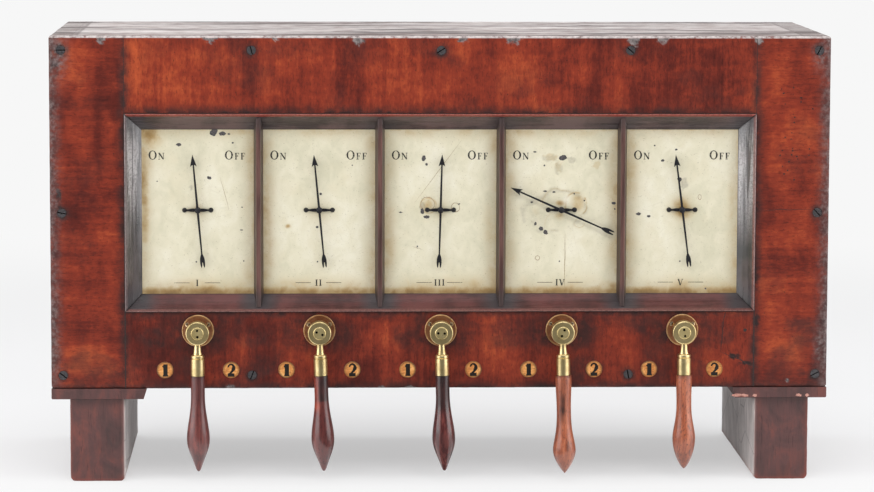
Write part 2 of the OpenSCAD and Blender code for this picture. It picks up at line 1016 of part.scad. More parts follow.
// Pair of upright springs beside each barrel, their feet on the bottom board
module contact_springs() {
    foot_l = 12;
    rise = axis_z - floor_z + spindle_d;
    near = barrel_d / 2 + body_gap;
    color(BRASS)
        for (i = [0 : STATIONS - 1], side = [-1, 1])
            translate([station_x(i), front_y + (barrel_front + barrel_back + spring_w) / 2, floor_z])
                mirror([side < 0 ? 1 : 0, 0, 0])
                    rotate([90, 0, 0])
                        linear_extrude(spring_w)
                            polygon([
                                [near, 0],
                                [near + foot_l, 0],
                                [near + foot_l, spring_t],
                                [near + spring_t, spring_t],
                                [near + spring_t, rise],
                                [near, rise],
                            ]);
}

// Binding posts for the line wires, two for each station
module terminal_posts() {
    base_r = 7;
    base_h = 2;
    cone_h = 4;
    stem_r = 3;
    head_r = 5.5;
    head_low = 0.5 * post_h;
    head_high = 0.8 * post_h;
    post_x = pitch / 4;
    post_y = (rail_back + case_d - back_t) / 2;
    color(BRASS)
        for (i = [0 : STATIONS - 1], side = [-1, 1])
            translate([station_x(i) + side * post_x, front_y + post_y, floor_z])
                rotate_extrude()
                    polygon([
                        [0, 0],
                        [base_r, 0],
                        [base_r, base_h],
                        [stem_r, cone_h],
                        [stem_r, head_low],
                        [head_r, head_low],
                        [head_r, head_high],
                        [stem_r, post_h],
                        [0, post_h],
                    ]);
}

// Cap between a foot and the case, its inner end cut back below
module foot_caps() {
    undercut = 3;
    worn = 1;
    color(FOOT_WOOD)
        for (side = [-1, 1])
            mirror([side < 0 ? 1 : 0, 0, 0])
                translate([0, front_y + case_d, foot_h])
                    rotate([90, 0, 0])
                        linear_extrude(case_d)
                            polygon([
                                [case_w / 2 - worn, 0],
                                [case_w / 2, worn],
                                [case_w / 2, cap_t],
                                [case_w / 2 - cap_l, cap_t],
                                [case_w / 2 - cap_l, cap_t - undercut],
                                [case_w / 2 - cap_l + undercut, 0],
                            ]);
}

module foot(side) {
    color(FOOT_WOOD)
        translate([side * foot_x, front_y + case_d, 0])
            rotate([90, 0, 0])
                linear_extrude(case_d)
                    union() {
                        translate([-foot_w / 2, foot_r])
                            square([foot_w, foot_h - foot_r]);
                        translate([-foot_w / 2 + foot_r, 0])
                            square([foot_w - 2 * foot_r, foot_r]);
                        for (end = [-1, 1])
                            translate([end * (foot_w / 2 - foot_r), foot_r])
                                circle(foot_r);
                    }
}

module foot_left() {
    foot(-1);
}

module foot_right() {
    foot(1);
}

top_board();
bottom_board();
side_board_left();
side_board_right();
back_board();
front_stile_left();
front_stile_right();
front_top_rail();
front_bottom_rail();
front_screws();
moulding_top();
moulding_bottom();
moulding_left();
moulding_right();
window_bars();
dial_board();
dial_plates();
pivot_bridges();
coil_frames();
coil_windings();
rose_plates();
rose_screws();
label_discs();
spindle_rail();
contact_springs();
terminal_posts();
foot_caps();
foot_left();
foot_right();
for (i = [0 : STATIONS - 1]) {
    pointer(i);
    pointer_spindle(i);
    handle_arm(i);
    handle_grip(i);
    handle_nut(i);
    commutator(i);
}
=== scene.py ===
import json
import math
from functools import partialmethod, reduce

import bpy
import numpy as np
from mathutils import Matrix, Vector


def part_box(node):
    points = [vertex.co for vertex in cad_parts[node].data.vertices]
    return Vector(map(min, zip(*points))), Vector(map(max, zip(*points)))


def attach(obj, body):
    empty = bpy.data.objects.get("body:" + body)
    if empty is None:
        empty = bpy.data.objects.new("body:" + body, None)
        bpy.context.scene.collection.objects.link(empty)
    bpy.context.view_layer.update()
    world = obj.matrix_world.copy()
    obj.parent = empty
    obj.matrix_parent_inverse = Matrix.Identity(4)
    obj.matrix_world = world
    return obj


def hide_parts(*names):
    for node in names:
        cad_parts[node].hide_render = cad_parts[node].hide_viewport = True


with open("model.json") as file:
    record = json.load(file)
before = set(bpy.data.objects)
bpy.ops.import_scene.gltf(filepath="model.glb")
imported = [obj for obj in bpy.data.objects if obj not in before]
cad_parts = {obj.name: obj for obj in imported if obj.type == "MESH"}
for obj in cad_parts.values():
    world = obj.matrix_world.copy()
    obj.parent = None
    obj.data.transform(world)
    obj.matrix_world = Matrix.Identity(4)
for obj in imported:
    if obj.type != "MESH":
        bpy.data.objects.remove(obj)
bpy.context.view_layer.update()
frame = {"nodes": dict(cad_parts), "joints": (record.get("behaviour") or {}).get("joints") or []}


def corners(node):
    """Lowest and highest corner of a CAD node's box."""
    return [np.array(corner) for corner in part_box(node)]


# Layout of the instrument, in metres, read from the frame
MM = 0.001
STATIONS = range(1, 6)
JOINTS = {joint["name"]: Vector(joint["pos_m"]) for joint in frame["joints"]}
PIVOTS = [JOINTS[f"needle_{k}_swing"] for k in STATIONS]
AXES = [JOINTS[f"handle_{k}_turn"] for k in STATIONS]
CASE_LOW = corners("front_stile_left")[0]
CASE_HIGH = corners("front_stile_right")[1]
CASE_HIGH[1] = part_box("side_board_left")[1].y
FRONT_Y, TOP_Z, BASE_Z = CASE_LOW[1], CASE_HIGH[2], CASE_LOW[2]
WINDOW_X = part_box("front_stile_right")[0].x
WINDOW_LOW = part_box("front_bottom_rail")[1].z
WINDOW_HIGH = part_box("front_top_rail")[0].z
SIGHT_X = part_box("moulding_right")[0].x
SIGHT_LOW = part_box("moulding_bottom")[1].z
SIGHT_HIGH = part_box("moulding_top")[0].z
DIAL_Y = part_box("dial_plates")[0].y
NUT_FACE_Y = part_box("handle_nut_1")[0].y
DISC_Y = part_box("label_discs")[0].y
PITCH = PIVOTS[1].x - PIVOTS[0].x
DIAL_HALF = SIGHT_X - PIVOTS[-1].x

# Camera, fitted to the corners of the case, window and feet in a picture of this width
IMAGE_W = 874
FOCAL_PX = 3662.0
CAMERA_X, CAMERA_BACK, CAMERA_Z = -159.3 * MM, 4267.4 * MM, 754.3 * MM
CAMERA_PITCH, CAMERA_ROLL, CAMERA_YAW = 6.36, -0.16, -2.06

# Wear and fit of the woodwork
EDGE_R, FOOT_R, FOOT_EDGE_R = 3.5 * MM, 5.5 * MM, 2 * MM
JOINT_GAP = 0.2 * MM
SCREW_HEAD_R = 5.25 * MM
SCREW_INSET, SCREW_DROP, SCREW_RISE = 14 * MM, 17 * MM, 16 * MM
DISC_R, DISC_SIDE, DISC_RISE = 9.8 * MM, 38.7 * MM, 22.1 * MM
BUSH_R = 7 * MM
END_CLEAT = 31 * MM
SCREW_X = CASE_HIGH[0] - SCREW_INSET
SCREWS = [
    (side * SCREW_X / 2, z)
    for side in (-2, -1, 0, 1, 2)
    for z in (TOP_Z - SCREW_DROP, BASE_Z + SCREW_RISE)
] + [(side * SCREW_X, (TOP_Z + BASE_Z) / 2) for side in (-1, 1)]
DISCS = [(axis.x + side * DISC_SIDE, BASE_Z + DISC_RISE) for axis in AXES for side in (-1, 1)]
BUSHES = [(axis.x, axis.z) for axis in AXES]

# Round holes in the front: centres, radius and depth
HOLES = (
    (SCREWS, SCREW_HEAD_R + 0.3 * MM, 4 * MM),
    (DISCS, DISC_R + 0.2 * MM, 1.7 * MM),
    (BUSHES, BUSH_R + 0.3 * MM, 20 * MM),
)
HOLE_SIDES, CUTTER_RISE, HOLE_CREASE = 40, 5 * MM, 35

# Mesh cells of the woodwork along x, y and z, and the cells and reach of its uneven wear
FRONT_CELLS = (1.5 * MM, 5 * MM, 1.5 * MM)
BOARD_CELLS = (2.5 * MM, 5 * MM, 5 * MM)
FOOT_CELLS = (2.5 * MM, 4 * MM, 2.5 * MM)
WEAR_CELL, WEAR_REACH = 9 * MM, 3 * MM

# How far thin marks stand proud of their faces
STAIN_PROUD, SLOT_PROUD, LINE_PROUD = 0.03 * MM, 0.04 * MM, 0.05 * MM
INK_PROUD, FLAKE_PROUD, CHIP_PROUD = 0.06 * MM, 0.08 * MM, 0.1 * MM


# Smooth random fields

def lattice(seed, ix, iy):
    """Random values from 0 to 1 at whole-number points, the same on each run."""
    mixed = (ix * 374761393 + iy * 668265263 + seed * 1442695041) & 0xFFFFFFFF
    mixed = ((mixed ^ (mixed >> 13)) * 1274126177) & 0xFFFFFFFF
    return ((mixed ^ (mixed >> 16)) & 0xFFFF) / 0xFFFF


def ease(t):
    t = np.clip(t, 0, 1)
    return t * t * (3 - 2 * t)


def clouds(seed, x, y, octaves=4):
    """Fractal noise from 0 to 1 over places counted in cells."""
    total, weight, size = 0, 0, 1.0
    for octave in range(octaves):
        ix, iy = np.floor(x).astype(np.int64), np.floor(y).astype(np.int64)
        fx, fy = ease(x - ix), ease(y - iy)
        own = seed + 101 * octave
        low = lattice(own, ix, iy) * (1 - fx) + lattice(own, ix + 1, iy) * fx
        high = lattice(own, ix, iy + 1) * (1 - fx) + lattice(own, ix + 1, iy + 1) * fx
        total = total + size * (low * (1 - fy) + high * fy)
        weight += size
        x, y, size = 2 * x, 2 * y, size / 2
    return total / weight


def falloff(distance, reach):
    """1 at no distance, falling smoothly to about 0 at twice the reach."""
    return np.exp(-np.square(np.maximum(distance, 0) / reach))


def spread(x, z, centre_x, centre_z, half_w, half_h):
    """Soft oval blot from 1 at its middle to 0."""
    return np.exp(-np.square((x - centre_x) / half_w) - np.square((z - centre_z) / half_h))


def ragged(seed, x, z, centre_x, centre_z, half_w, half_h):
    """Oval patch with a broken outline, 1 inside and 0 outside; sizes in mm."""
    reach = np.hypot((x - centre_x) / half_w, (z - centre_z) / half_h)
    reach = reach + 1.3 * (clouds(seed, x / 3.2, z / 3.2, 3) - 0.5)
    return ease((1 - reach) / 0.3)


def most(*fields):
    """Largest of several fields at each place."""
    return reduce(np.maximum, fields)


# Materials

def tint(red, green, blue):
    """Colour as it shows on screen, 0 to 255, in the shader's linear terms."""
    return (*[((c / 255 + 0.055) / 1.055) ** 2.4 for c in (red, green, blue)], 1.0)


def dim(colour, share):
    return [share * c for c in colour]


class Value:
    """Output of a shader node; arithmetic on it adds math nodes."""

    def __init__(self, tree, socket):
        self.tree = tree
        self.socket = socket

    def math(self, how, other=0.0):
        return self.tree.math(how, self, other)

    __add__ = partialmethod(math, "ADD")
    __sub__ = partialmethod(math, "SUBTRACT")
    __mul__ = __rmul__ = partialmethod(math, "MULTIPLY")
    __truediv__ = partialmethod(math, "DIVIDE")
    __abs__ = partialmethod(math, "ABSOLUTE")
    most = partialmethod(math, "MAXIMUM")


class Tree:
    """Shader nodes of a material or world; each call adds a node and gives back one of its outputs."""

    def __init__(self, owner):
        owner.use_nodes = True
        self.nodes = owner.node_tree.nodes
        self.links = owner.node_tree.links

    def node(self, kind, output, inputs=(), **settings):
        made = self.nodes.new(f"ShaderNode{kind}")
        for key, value in settings.items():
            setattr(made, key, value)
        for key, value in dict(inputs).items():
            self.feed(made.inputs[key], value)
        return Value(self, made.outputs[output])

    def feed(self, socket, value):
        if isinstance(value, Value):
            self.links.new(value.socket, socket)
        else:
            socket.default_value = value

    def math(self, how, a, b):
        return self.node("Math", 0, {0: a, 1: b}, operation=how)


class Paint(Tree):
    """Material that is laid on in coats; x, y and z are places in the shared frame."""

    def __init__(self, name, **constants):
        self.material = bpy.data.materials.new(name)
        super().__init__(self.material)
        self.shader = self.nodes["Principled BSDF"]
        self.place = self.node("TexCoord", "Object")
        self.x, self.y, self.z = (self.node("SeparateXYZ", axis, {"Vector": self.place}) for axis in "XYZ")
        for socket, value in constants.items():
            self.shader.inputs[socket.replace("_", " ")].default_value = value

    def cell_places(self, scale):
        """Places counted in cells; the scale is cells per metre, alike or for each axis."""
        scale = np.broadcast_to(scale, 3).tolist()
        return self.node("Mapping", 0, {"Vector": self.place, "Scale": scale})

    def noise(self, scale, detail=4.0, rough=0.55, twist=0.0):
        inputs = {"Scale": 1.0, "Detail": detail, "Roughness": rough, "Distortion": twist}
        return self.node("TexNoise", "Fac", {"Vector": self.cell_places(scale), **inputs})

    def cells(self, scale):
        """Distance from the borders of random cells, for cracks."""
        inputs = {"Vector": self.cell_places(scale), "Scale": 1.0}
        return self.node("TexVoronoi", "Distance", inputs, feature="DISTANCE_TO_EDGE")

    def ramp(self, value, *stops):
        """Colours between stops, each a level and the colour as it shows on screen."""
        made = self.node("ValToRGB", "Color", {"Fac": value})
        elements = made.socket.node.color_ramp.elements
        while len(elements) < len(stops):
            elements.new(0.5)
        for element, (level, colour) in zip(elements, stops):
            element.position = level
            element.color = tint(*colour)
        return made

    def span(self, value, low, high, to_low=0.0, to_high=1.0):
        """Smooth step of a value from one range into another."""
        inputs = {"Value": value, "From Min": low, "From Max": high, "To Min": to_low, "To Max": to_high}
        return self.node("MapRange", "Result", inputs, interpolation_type="SMOOTHSTEP")

    def coat(self, amount, colour):
        """Lays a screen colour, or the output of a ramp, over the colour so far."""
        laid = colour if isinstance(colour, Value) else tint(*colour)
        self.colour = self.node("Mix", 2, {0: amount, 6: self.colour, 7: laid}, data_type="RGBA")

    def marks(self):
        """The three soft marks painted on a piece's points, and its broken patches."""
        colour = self.node("Attribute", "Color", attribute_name="marks")
        soft = [self.node("SeparateColor", index, {"Color": colour}) for index in range(3)]
        return *soft, self.node("Attribute", "Fac", attribute_name="broken")

    def finish(self, guide, roughness, height, depth, guide_range=(0.3, 0.7)):
        """Joins colour, roughness between two values led by a guide, and a bump in metres to the shader."""
        bump = self.node("Bump", "Normal", {"Height": height, "Distance": depth, "Strength": 1.0})
        rough = self.span(guide, *guide_range, *roughness)
        for socket, value in (("Base Color", self.colour), ("Roughness", rough), ("Normal", bump)):
            self.feed(self.shader.inputs[socket], value)
        return self.material


def grain(along, across, length):
    """Cells per metre of a noise that runs along one axis of the wood."""
    scale = [across] * 3
    scale["xyz".index(along)] = length
    return scale


def veneer(name, along, streaky, flecked):
    """French-polished mahogany: grime, with painted shade round the screws and handles (first mark), wear
    (second), tone (third), chips (broken).
    """
    p = Paint(name, Specular_IOR_Level=0.22)
    grime, wear, tone, chips = p.marks()
    figure = p.noise(grain(along, 17, 3), 4, 0.6, 0.8)
    streak = p.noise(grain(along, 150, 7), 5, 0.65, 0.3)
    fleck = p.noise(grain(along, 340, 150), 4, 0.68)
    ticks = p.noise(grain(along, 820, 180), 2, 0.5)
    mottle = p.noise(grain(along, 30, 60), 5, 0.6, 0.4)
    middle = (0.4 + streaky + 0.28 + flecked) / 2
    level = 0.4 * figure + streaky * streak + 0.28 * mottle + flecked * fleck + tone - middle
    p.colour = p.ramp(
        level, (0.27, (50, 19, 17)), (0.42, (94, 34, 25)), (0.54, (130, 49, 31)), (0.74, (182, 84, 46)),
    )
    p.coat(p.span(ticks, 0.58, 0.7, 0, 0.4), (50, 20, 16))
    # The first mark darkens with grime, and with painted shade round the screws and handles.
    dirt = grime * p.span(p.noise(85, 6, 0.62), 0.34, 0.6, 0.4)
    p.coat(dirt, (42, 29, 28))
    p.coat(p.span(p.noise(420, 3, 0.6), 0.65, 0.7, 0, 0.65), (40, 28, 27))
    rough = p.noise(190, 6, 0.65)
    bare = wear * p.span(rough, 0.34, 0.66, 0.4, 0.9)
    p.coat(bare, p.ramp(rough, (0.4, (72, 60, 60)), (0.66, (124, 109, 107))))
    p.coat(chips, p.ramp(rough, (0.35, (70, 63, 63)), (0.62, (134, 125, 123))))
    worn_top = p.span(p.z, TOP_Z - 3.1 * MM, TOP_Z - 2.3 * MM)
    arris = worn_top * p.span(rough, 0.3, 0.46, 0.35)
    p.coat(arris, p.ramp(rough, (0.38, (138, 128, 126)), (0.6, (190, 180, 177))))
    behind = p.span(p.y - FRONT_Y, 3 * MM, 6 * MM, 0, 0.9)
    p.coat(behind * worn_top, (88, 80, 79))
    height = 0.5 * streak - 0.6 * ticks - 2 * chips - 0.6 * bare
    return p.finish(dirt + bare + chips, (0.36, 0.7), height, 0.15 * MM, (0, 1))


SLATE = (64, 62, 64)


def moulding_wood(name, along, wood, near_bars, crest, gloss, contrast=0.25, painted_sheen=0):
    """Polished moulding: rubbed bead with a painted highlight along its crest, slate dirt at mitres and by
    the bars, a painted sheen on its upper part.
    """
    p = Paint(name, Specular_IOR_Level=gloss, Coat_Weight=gloss, Coat_Roughness=0.16)
    depth = p.y - FRONT_Y
    streak = p.noise(grain(along, 160, 9), 6, 0.62, 0.3)
    fine = p.noise(420, 4, 0.6)
    level = 0.3 * streak + 0.7 * p.noise(20, 5, 0.62)
    p.colour = p.ramp(level, (0.41, dim(wood, 1 - contrast)), (0.58, dim(wood, 1 + contrast)))
    # Painted sheen: pale broken streaks on the upper part stand in for the lamps' reflection.
    upper_painted_sheen = p.span(p.z, SIGHT_LOW + 50 * MM, SIGHT_HIGH - 60 * MM, 0, painted_sheen)
    broken = p.span(streak, 0.42, 0.56, 0.1) * p.span(fine, 0.38, 0.55, 0.5)
    p.coat(upper_painted_sheen * broken, (166, 162, 162))
    bay = abs((p.x / PITCH).math("FRACT") - 0.5)
    bays = p.span(bay, 7 * MM / PITCH, 30 * MM / PITCH, near_bars, 0)
    over = (p.z - SIGHT_HIGH).most(p.math("SUBTRACT", SIGHT_LOW, p.z))
    mitre = abs(abs(p.x) - SIGHT_X - over)
    dirt = bays.most(p.span(mitre, 3 * MM, 30 * MM, 0.8, 0))
    p.coat(dirt * p.span(level, 0.36, 0.6, 0.7), SLATE)
    rubbed = p.span(depth, 0.6 * MM, -1.6 * MM, 0, 0.9)
    p.coat(rubbed, p.ramp(fine, (0.35, dim(crest, 0.75)), (0.65, crest)))
    # Painted highlight: a pale broken line along the front crest of the bead.
    painted_crest_highlight = p.span(depth, -3.2 * MM, -3.8 * MM) * p.span(fine, 0.3, 0.6, 0.1, 0.7)
    p.coat(painted_crest_highlight, (164, 140, 136))
    seam = p.span(mitre, 0.4 * MM, 1.1 * MM, 0.85, 0)
    root = p.span(depth, 13.2 * MM, 14.4 * MM, 0, 0.6)
    p.coat(seam.most(root), (34, 29, 29))
    return p.finish(streak, (0.2, 0.42), streak + 0.4 * fine - seam, 0.3 * MM)


def bar_wood():
    """Window bars: red-brown rubbed front, dark plum flanks, slate dirt at both ends."""
    p = Paint("bar_wood", Specular_IOR_Level=0.35, Coat_Weight=0.2, Coat_Roughness=0.22)
    depth = p.y - FRONT_Y
    streak = p.noise(grain("z", 220, 14), 5, 0.6)
    p.colour = p.ramp(streak, (0.34, (42, 31, 30)), (0.64, (70, 48, 44)))
    front = p.span(depth, 2.2 * MM, 1.4 * MM)
    p.coat(front, p.ramp(streak, (0.34, (62, 42, 39)), (0.64, (102, 70, 63))))
    p.coat(p.span(abs(p.z - PIVOTS[0].z), 84 * MM, 106 * MM, 0, 0.7), (60, 53, 53))
    p.coat(p.span(depth, 11 * MM, 14.5 * MM, 0, 0.75), (46, 34, 31))
    return p.finish(streak, (0.28, 0.46), streak, 0.2 * MM)


def case_wood():
    """Plain carcass wood under worn polish: grime (first mark), bare wood (second), pale edges (third)."""
    p = Paint("case_wood", Specular_IOR_Level=0.3)
    grime, wear, pale = p.marks()[:3]
    streak = p.noise(grain("x", 140, 4), 6, 0.62, 0.3)
    pores = p.noise(grain("x", 1200, 40), 3, 0.6)
    level = 0.6 * p.noise(grain("x", 26, 3.5), 5, 0.7, 0.5) + 0.4 * streak
    p.colour = p.ramp(level, (0.3, (66, 32, 27)), (0.5, (94, 45, 35)), (0.7, (122, 62, 46)))
    bare = p.ramp(level, (0.38, (128, 119, 117)), (0.47, (190, 183, 181)), (0.6, (214, 209, 207)))
    p.coat(wear * p.span(p.noise(40, 5, 0.6), 0.3, 0.62, 0.6), bare)
    p.coat(p.span(pores, 0.6, 0.72, 0, 0.6), (66, 50, 47))
    contour = abs(p.noise(grain("x", 24, 2.2), 3, 0.5, 0.4) - 0.5)
    p.coat(p.span(contour, 0, 0.022, 0.75, 0) * p.span(wear, 0.5, 0.9), (62, 54, 53))
    p.coat(0.7 * pale, (190, 164, 156))
    p.coat(0.85 * grime, (48, 38, 36))
    return p.finish(wear + grime, (0.42, 0.75), streak - pores, 0.25 * MM, (0, 1))


def foot_wood():
    """Dull red-brown blocks: grime (first mark), grey bare wood, painted very pale on the shaded inner faces
    as painted light and sheen (second), worn arrises (third).
    """
    p = Paint("foot_wood", Specular_IOR_Level=0.3)
    grime, wear, arris = p.marks()[:3]
    streak = p.noise(grain("z", 110, 16), 6, 0.62, 0.5)
    pores = p.noise(grain("z", 700, 60), 3, 0.6)
    level = 0.7 * p.noise(grain("z", 34, 20), 5, 0.6, 0.9) + 0.3 * streak
    p.colour = p.ramp(level, (0.36, (72, 54, 53)), (0.5, (90, 61, 59)), (0.64, (116, 68, 61)))
    p.coat(p.span(pores, 0.58, 0.7, 0, 0.5), (52, 34, 33))
    # The second mark paints the bare wood far paler on the inner faces, as painted light and sheen on grey
    # wood.
    p.coat(0.92 * wear, p.ramp(level, (0.36, (208, 201, 198)), (0.62, (246, 241, 238))))
    cracks = p.span(p.cells(grain("z", 8, 13)), 0, 0.012, 0.5, 0)
    p.coat(cracks * wear, (58, 50, 49))
    p.coat(0.85 * arris, (158, 74, 56))
    p.coat(0.85 * grime, (44, 34, 33))
    return p.finish(streak, (0.42, 0.6), streak - pores - cracks, 0.2 * MM)


def dial_paint():
    """Aged cream paint: brown stains, with painted shade along the sides and top (first mark), grey dirt with
    painted shade inside the window's edges (second), rubbed white (third).
    """
    p = Paint("dial_paint", Specular_IOR_Level=0.25)
    stain, dirt, white = p.marks()[:3]
    broad = p.noise((14, 14, 12), 3, 0.5)
    mottle = p.noise((80, 80, 60), 6, 0.6, 0.5)
    fine = p.noise(420, 4, 0.6)
    level = 0.55 * broad + 0.45 * mottle
    p.colour = p.ramp(level, (0.37, (200, 195, 170)), (0.5, (212, 206, 182)), (0.63, (219, 214, 194)))
    worn = stain * p.span(mottle, 0.34, 0.66, 0.82, 1.15)
    ochre = p.ramp(worn, (0, (202, 188, 148)), (0.4, (176, 146, 92)), (1, (108, 80, 46)))
    p.coat(p.span(worn, 0, 0.7), ochre)
    # Second mark: grey dirt, and painted shade inside the window's edges.
    p.coat(dirt * p.span(fine, 0.3, 0.65, 0.6), (98, 90, 80))
    p.coat(white, (226, 222, 210))
    p.coat(p.span(p.noise(700, 2, 0.5), 0.66, 0.75, 0, 0.45), (112, 92, 62))
    faint = p.span(p.cells(90), 0, 0.025, 1, 0) * p.span(broad, 0.48, 0.62, 0, 0.12)
    p.coat(faint, (150, 138, 112))
    return p.finish(fine, (0.5, 0.62), fine - faint, 0.06 * MM)


def black_iron(name, tone, face_y):
    """Blackened iron with a dull blue-grey sheen and rusty specks; painted black shade below its face, as in
    a slot.
    """
    p = Paint(name, Metallic=0.5, Specular_IOR_Level=0.4)
    blotch = p.noise(700, 5, 0.6)
    p.colour = p.ramp(blotch, (0.3, dim(tone, 0.7)), (0.7, tone))
    p.coat(p.span(p.noise(1400, 3), 0.62, 0.72, 0, 0.5), (78, 56, 46))
    # Painted shade: black in slots and wherever the piece lies behind its face.
    p.coat(p.span(p.y - face_y, 0.25 * MM, 0.7 * MM), (16, 14, 14))
    return p.finish(blotch, (0.35, 0.6), blotch, 0.1 * MM)


def brass(name, pale, dark, roughness, pit_shade_y=None):
    """Turned brass, unevenly tarnished; painted black shade in holes that lie behind a face."""
    p = Paint(name, Metallic=1.0)
    blotch = p.noise(75)
    p.colour = p.ramp(blotch, (0.36, dark), (0.62, pale))
    p.coat(p.span(p.noise(300, 4, 0.6), 0.64, 0.74, 0, 0.4), (92, 72, 42))
    # Painted shade: black inside holes behind the given face.
    if pit_shade_y is not None:
        p.coat(p.span(p.y - pit_shade_y, 1 * MM, 1.6 * MM), (14, 12, 10))
    return p.finish(blotch, (roughness + 0.08, roughness), p.noise(900, 3, 0.6), 0.002 * MM)


def boxwood():
    """Ochre inlay with flecks across it and handling dirt that gathers at the rims of the discs."""
    p = Paint("boxwood", Specular_IOR_Level=0.35)
    flecks = p.noise((260, 260, 900), 5, 0.6)
    broad = p.noise(70, 3)
    level = 0.5 * flecks + 0.5 * broad
    p.colour = p.ramp(level, (0.36, (174, 104, 52)), (0.5, (210, 142, 74)), (0.64, (234, 176, 108)))
    p.coat(p.span(p.noise(500), 0.58, 0.68, 0, 0.65), (96, 54, 32))
    station = (p.x / PITCH + 0.5).math("FRACT") - 0.5
    across = abs(station) * PITCH - DISC_SIDE
    up = p.z - (BASE_Z + DISC_RISE)
    reach = (across.math("POWER", 2) + up.math("POWER", 2)).math("SQRT")
    p.coat(p.span(reach, 6.5 * MM, DISC_R, 0, 0.85) * p.span(broad, 0.35, 0.6, 0.5), (72, 40, 28))
    return p.finish(flecks, (0.35, 0.5), flecks, 0.08 * MM)


def grip_wood(name, tones, gloss, stain, stain_amount):
    """Turned wooden grip: lengthwise streaks, stains (first mark) and bright rubbed wood (second)."""
    p = Paint(name, Specular_IOR_Level=0.5, Coat_Weight=0.5, Coat_Roughness=gloss)
    dark_mark, rub = p.marks()[:2]
    streak = p.noise(grain("z", 420, 16), 6, 0.62, 0.4)
    level = 0.55 * streak + 0.45 * p.noise(grain("z", 60, 12))
    p.colour = p.ramp(level, *zip((0.34, 0.5, 0.66), tones))
    p.coat(p.span(p.noise(grain("z", 620, 240), 3, 0.6), 0.53, 0.64, 0, stain_amount), stain)
    p.coat(rub, (152, 58, 34))
    p.coat(dark_mark, dim(stain, 0.7))
    return p.finish(streak, (gloss + 0.08, gloss + 0.22), streak, 0.08 * MM)


def steel():
    p = Paint("spindle_steel", Metallic=1.0)
    lines = p.noise((300, 4000, 300), 3)
    p.colour = p.ramp(lines, (0.3, (120, 119, 117)), (0.7, (168, 167, 164)))
    return p.finish(lines, (0.25, 0.4), lines, 0.02 * MM)


def coil_silk():
    """Silk-covered wire, wound in close turns."""
    p = Paint("coil_silk", Sheen_Weight=0.4)
    turn = (p.x * (2 * math.pi / (0.6 * MM))).math("SINE")
    fuzz = p.noise(900)
    p.colour = p.ramp(fuzz, (0.3, (58, 72, 44)), (0.7, (96, 112, 72)))
    p.coat(p.span(turn, -1, -0.4, 0.6, 0), (28, 34, 22))
    return p.finish(fuzz, (0.6, 0.8), turn, 0.12 * MM)


def ink(name, colour, ground, loss):
    """Painted lettering, flaked so that the ground shows through in places."""
    p = Paint(name, Specular_IOR_Level=0.3)
    flaw = p.noise(620, 5, 0.65)
    p.colour = p.ramp(flaw, (0.35, dim(colour, 0.8)), (0.65, colour))
    p.coat(p.span(flaw, loss, loss + 0.08), ground)
    return p.finish(flaw, (0.45, 0.6), flaw, 0.05 * MM)


def flaked(name, pale, dark):
    """Patch where the surface has come away."""
    p = Paint(name, Specular_IOR_Level=0.3)
    rough = p.noise(800, 5, 0.65)
    p.colour = p.ramp(rough, (0.35, dark), (0.65, pale))
    return p.finish(rough, (0.55, 0.8), rough, 0.15 * MM)


VENEER_UP = veneer("veneer_upright_grain", "z", 0.24, 0.25)
VENEER_CROSS = veneer("veneer_cross_grain", "x", 0.22, 0.22)
RED_BEAD, PLUM_BEAD, GREY_BEAD, BROWN_BEAD = (150, 58, 42), (128, 82, 76), (108, 94, 95), (120, 78, 72)
# Side mouldings: stronger contrast and a painted sheen on their upper parts.
PAINTED_SHEEN_LOOK = {"contrast": 0.6, "painted_sheen": 0.9}
MOULDINGS = {
    # The top moulding's darker wood is partly its own tone and partly painted shade of its downward-facing
    # splay.
    "moulding_top": moulding_wood("moulding_top_painted_shade", "x", (74, 58, 56), 0.5, RED_BEAD, 0.3),
    "moulding_bottom": moulding_wood("moulding_lower", "x", (76, 44, 42), 0.95, BROWN_BEAD, 0.18),
    "moulding_left": moulding_wood("moulding_left", "z", (46, 41, 42), 0, GREY_BEAD, 0.5, **PAINTED_SHEEN_LOOK),
    "moulding_right": moulding_wood("moulding_right", "z", (44, 36, 36), 0, PLUM_BEAD, 0.65, **PAINTED_SHEEN_LOOK),
}
BAR_WOOD = bar_wood()
CASE_WOOD = case_wood()
FOOT_WOOD = foot_wood()
DIAL_PAINT = dial_paint()
NEEDLE_BLACK = black_iron("needle_black", (44, 44, 48), DIAL_Y)
SCREW_BLACK = black_iron("screw_black", (86, 83, 85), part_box("front_screws")[0].y)
ARM_BRASS = brass("arm_brass", (224, 203, 152), (192, 171, 121), 0.3)
NUT_BRASS = brass("nut_brass", (218, 200, 148), (184, 165, 114), 0.42, NUT_FACE_Y)
ROSE_BRASS = brass("rose_brass", (208, 150, 110), (160, 106, 76), 0.32)
# The rims' brass is paler than the roses' as a painted highlight along the rolled rim.
RIM_BRASS_PAINTED_HIGHLIGHT = brass("rim_brass_painted_highlight", (214, 178, 132), (172, 130, 92), 0.45)
SCREW_BRASS = brass("screw_brass", (236, 210, 170), (206, 172, 130), 0.22)
BOXWOOD = boxwood()
STEEL = steel()
COIL_SILK = coil_silk()
DARK_GRIP = ((64, 25, 24), (92, 38, 34), (128, 62, 54))
PLUM_GRIP = ((48, 20, 22), (76, 32, 31), (120, 58, 51))
LIGHT_GRIP = ((112, 54, 34), (158, 82, 52), (196, 116, 80))
GRIPS = {
    1: grip_wood("grip_red", DARK_GRIP, 0.24, (44, 20, 20), 0.4),
    2: grip_wood("grip_banded", DARK_GRIP, 0.18, (40, 18, 19), 0.4),
    3: grip_wood("grip_plum", PLUM_GRIP, 0.12, (38, 26, 27), 0.4),
    4: grip_wood("grip_streaked", LIGHT_GRIP, 0.24, (80, 42, 32), 0.6),
    5: grip_wood("grip_speckled", LIGHT_GRIP, 0.26, (84, 44, 33), 0.75),
}
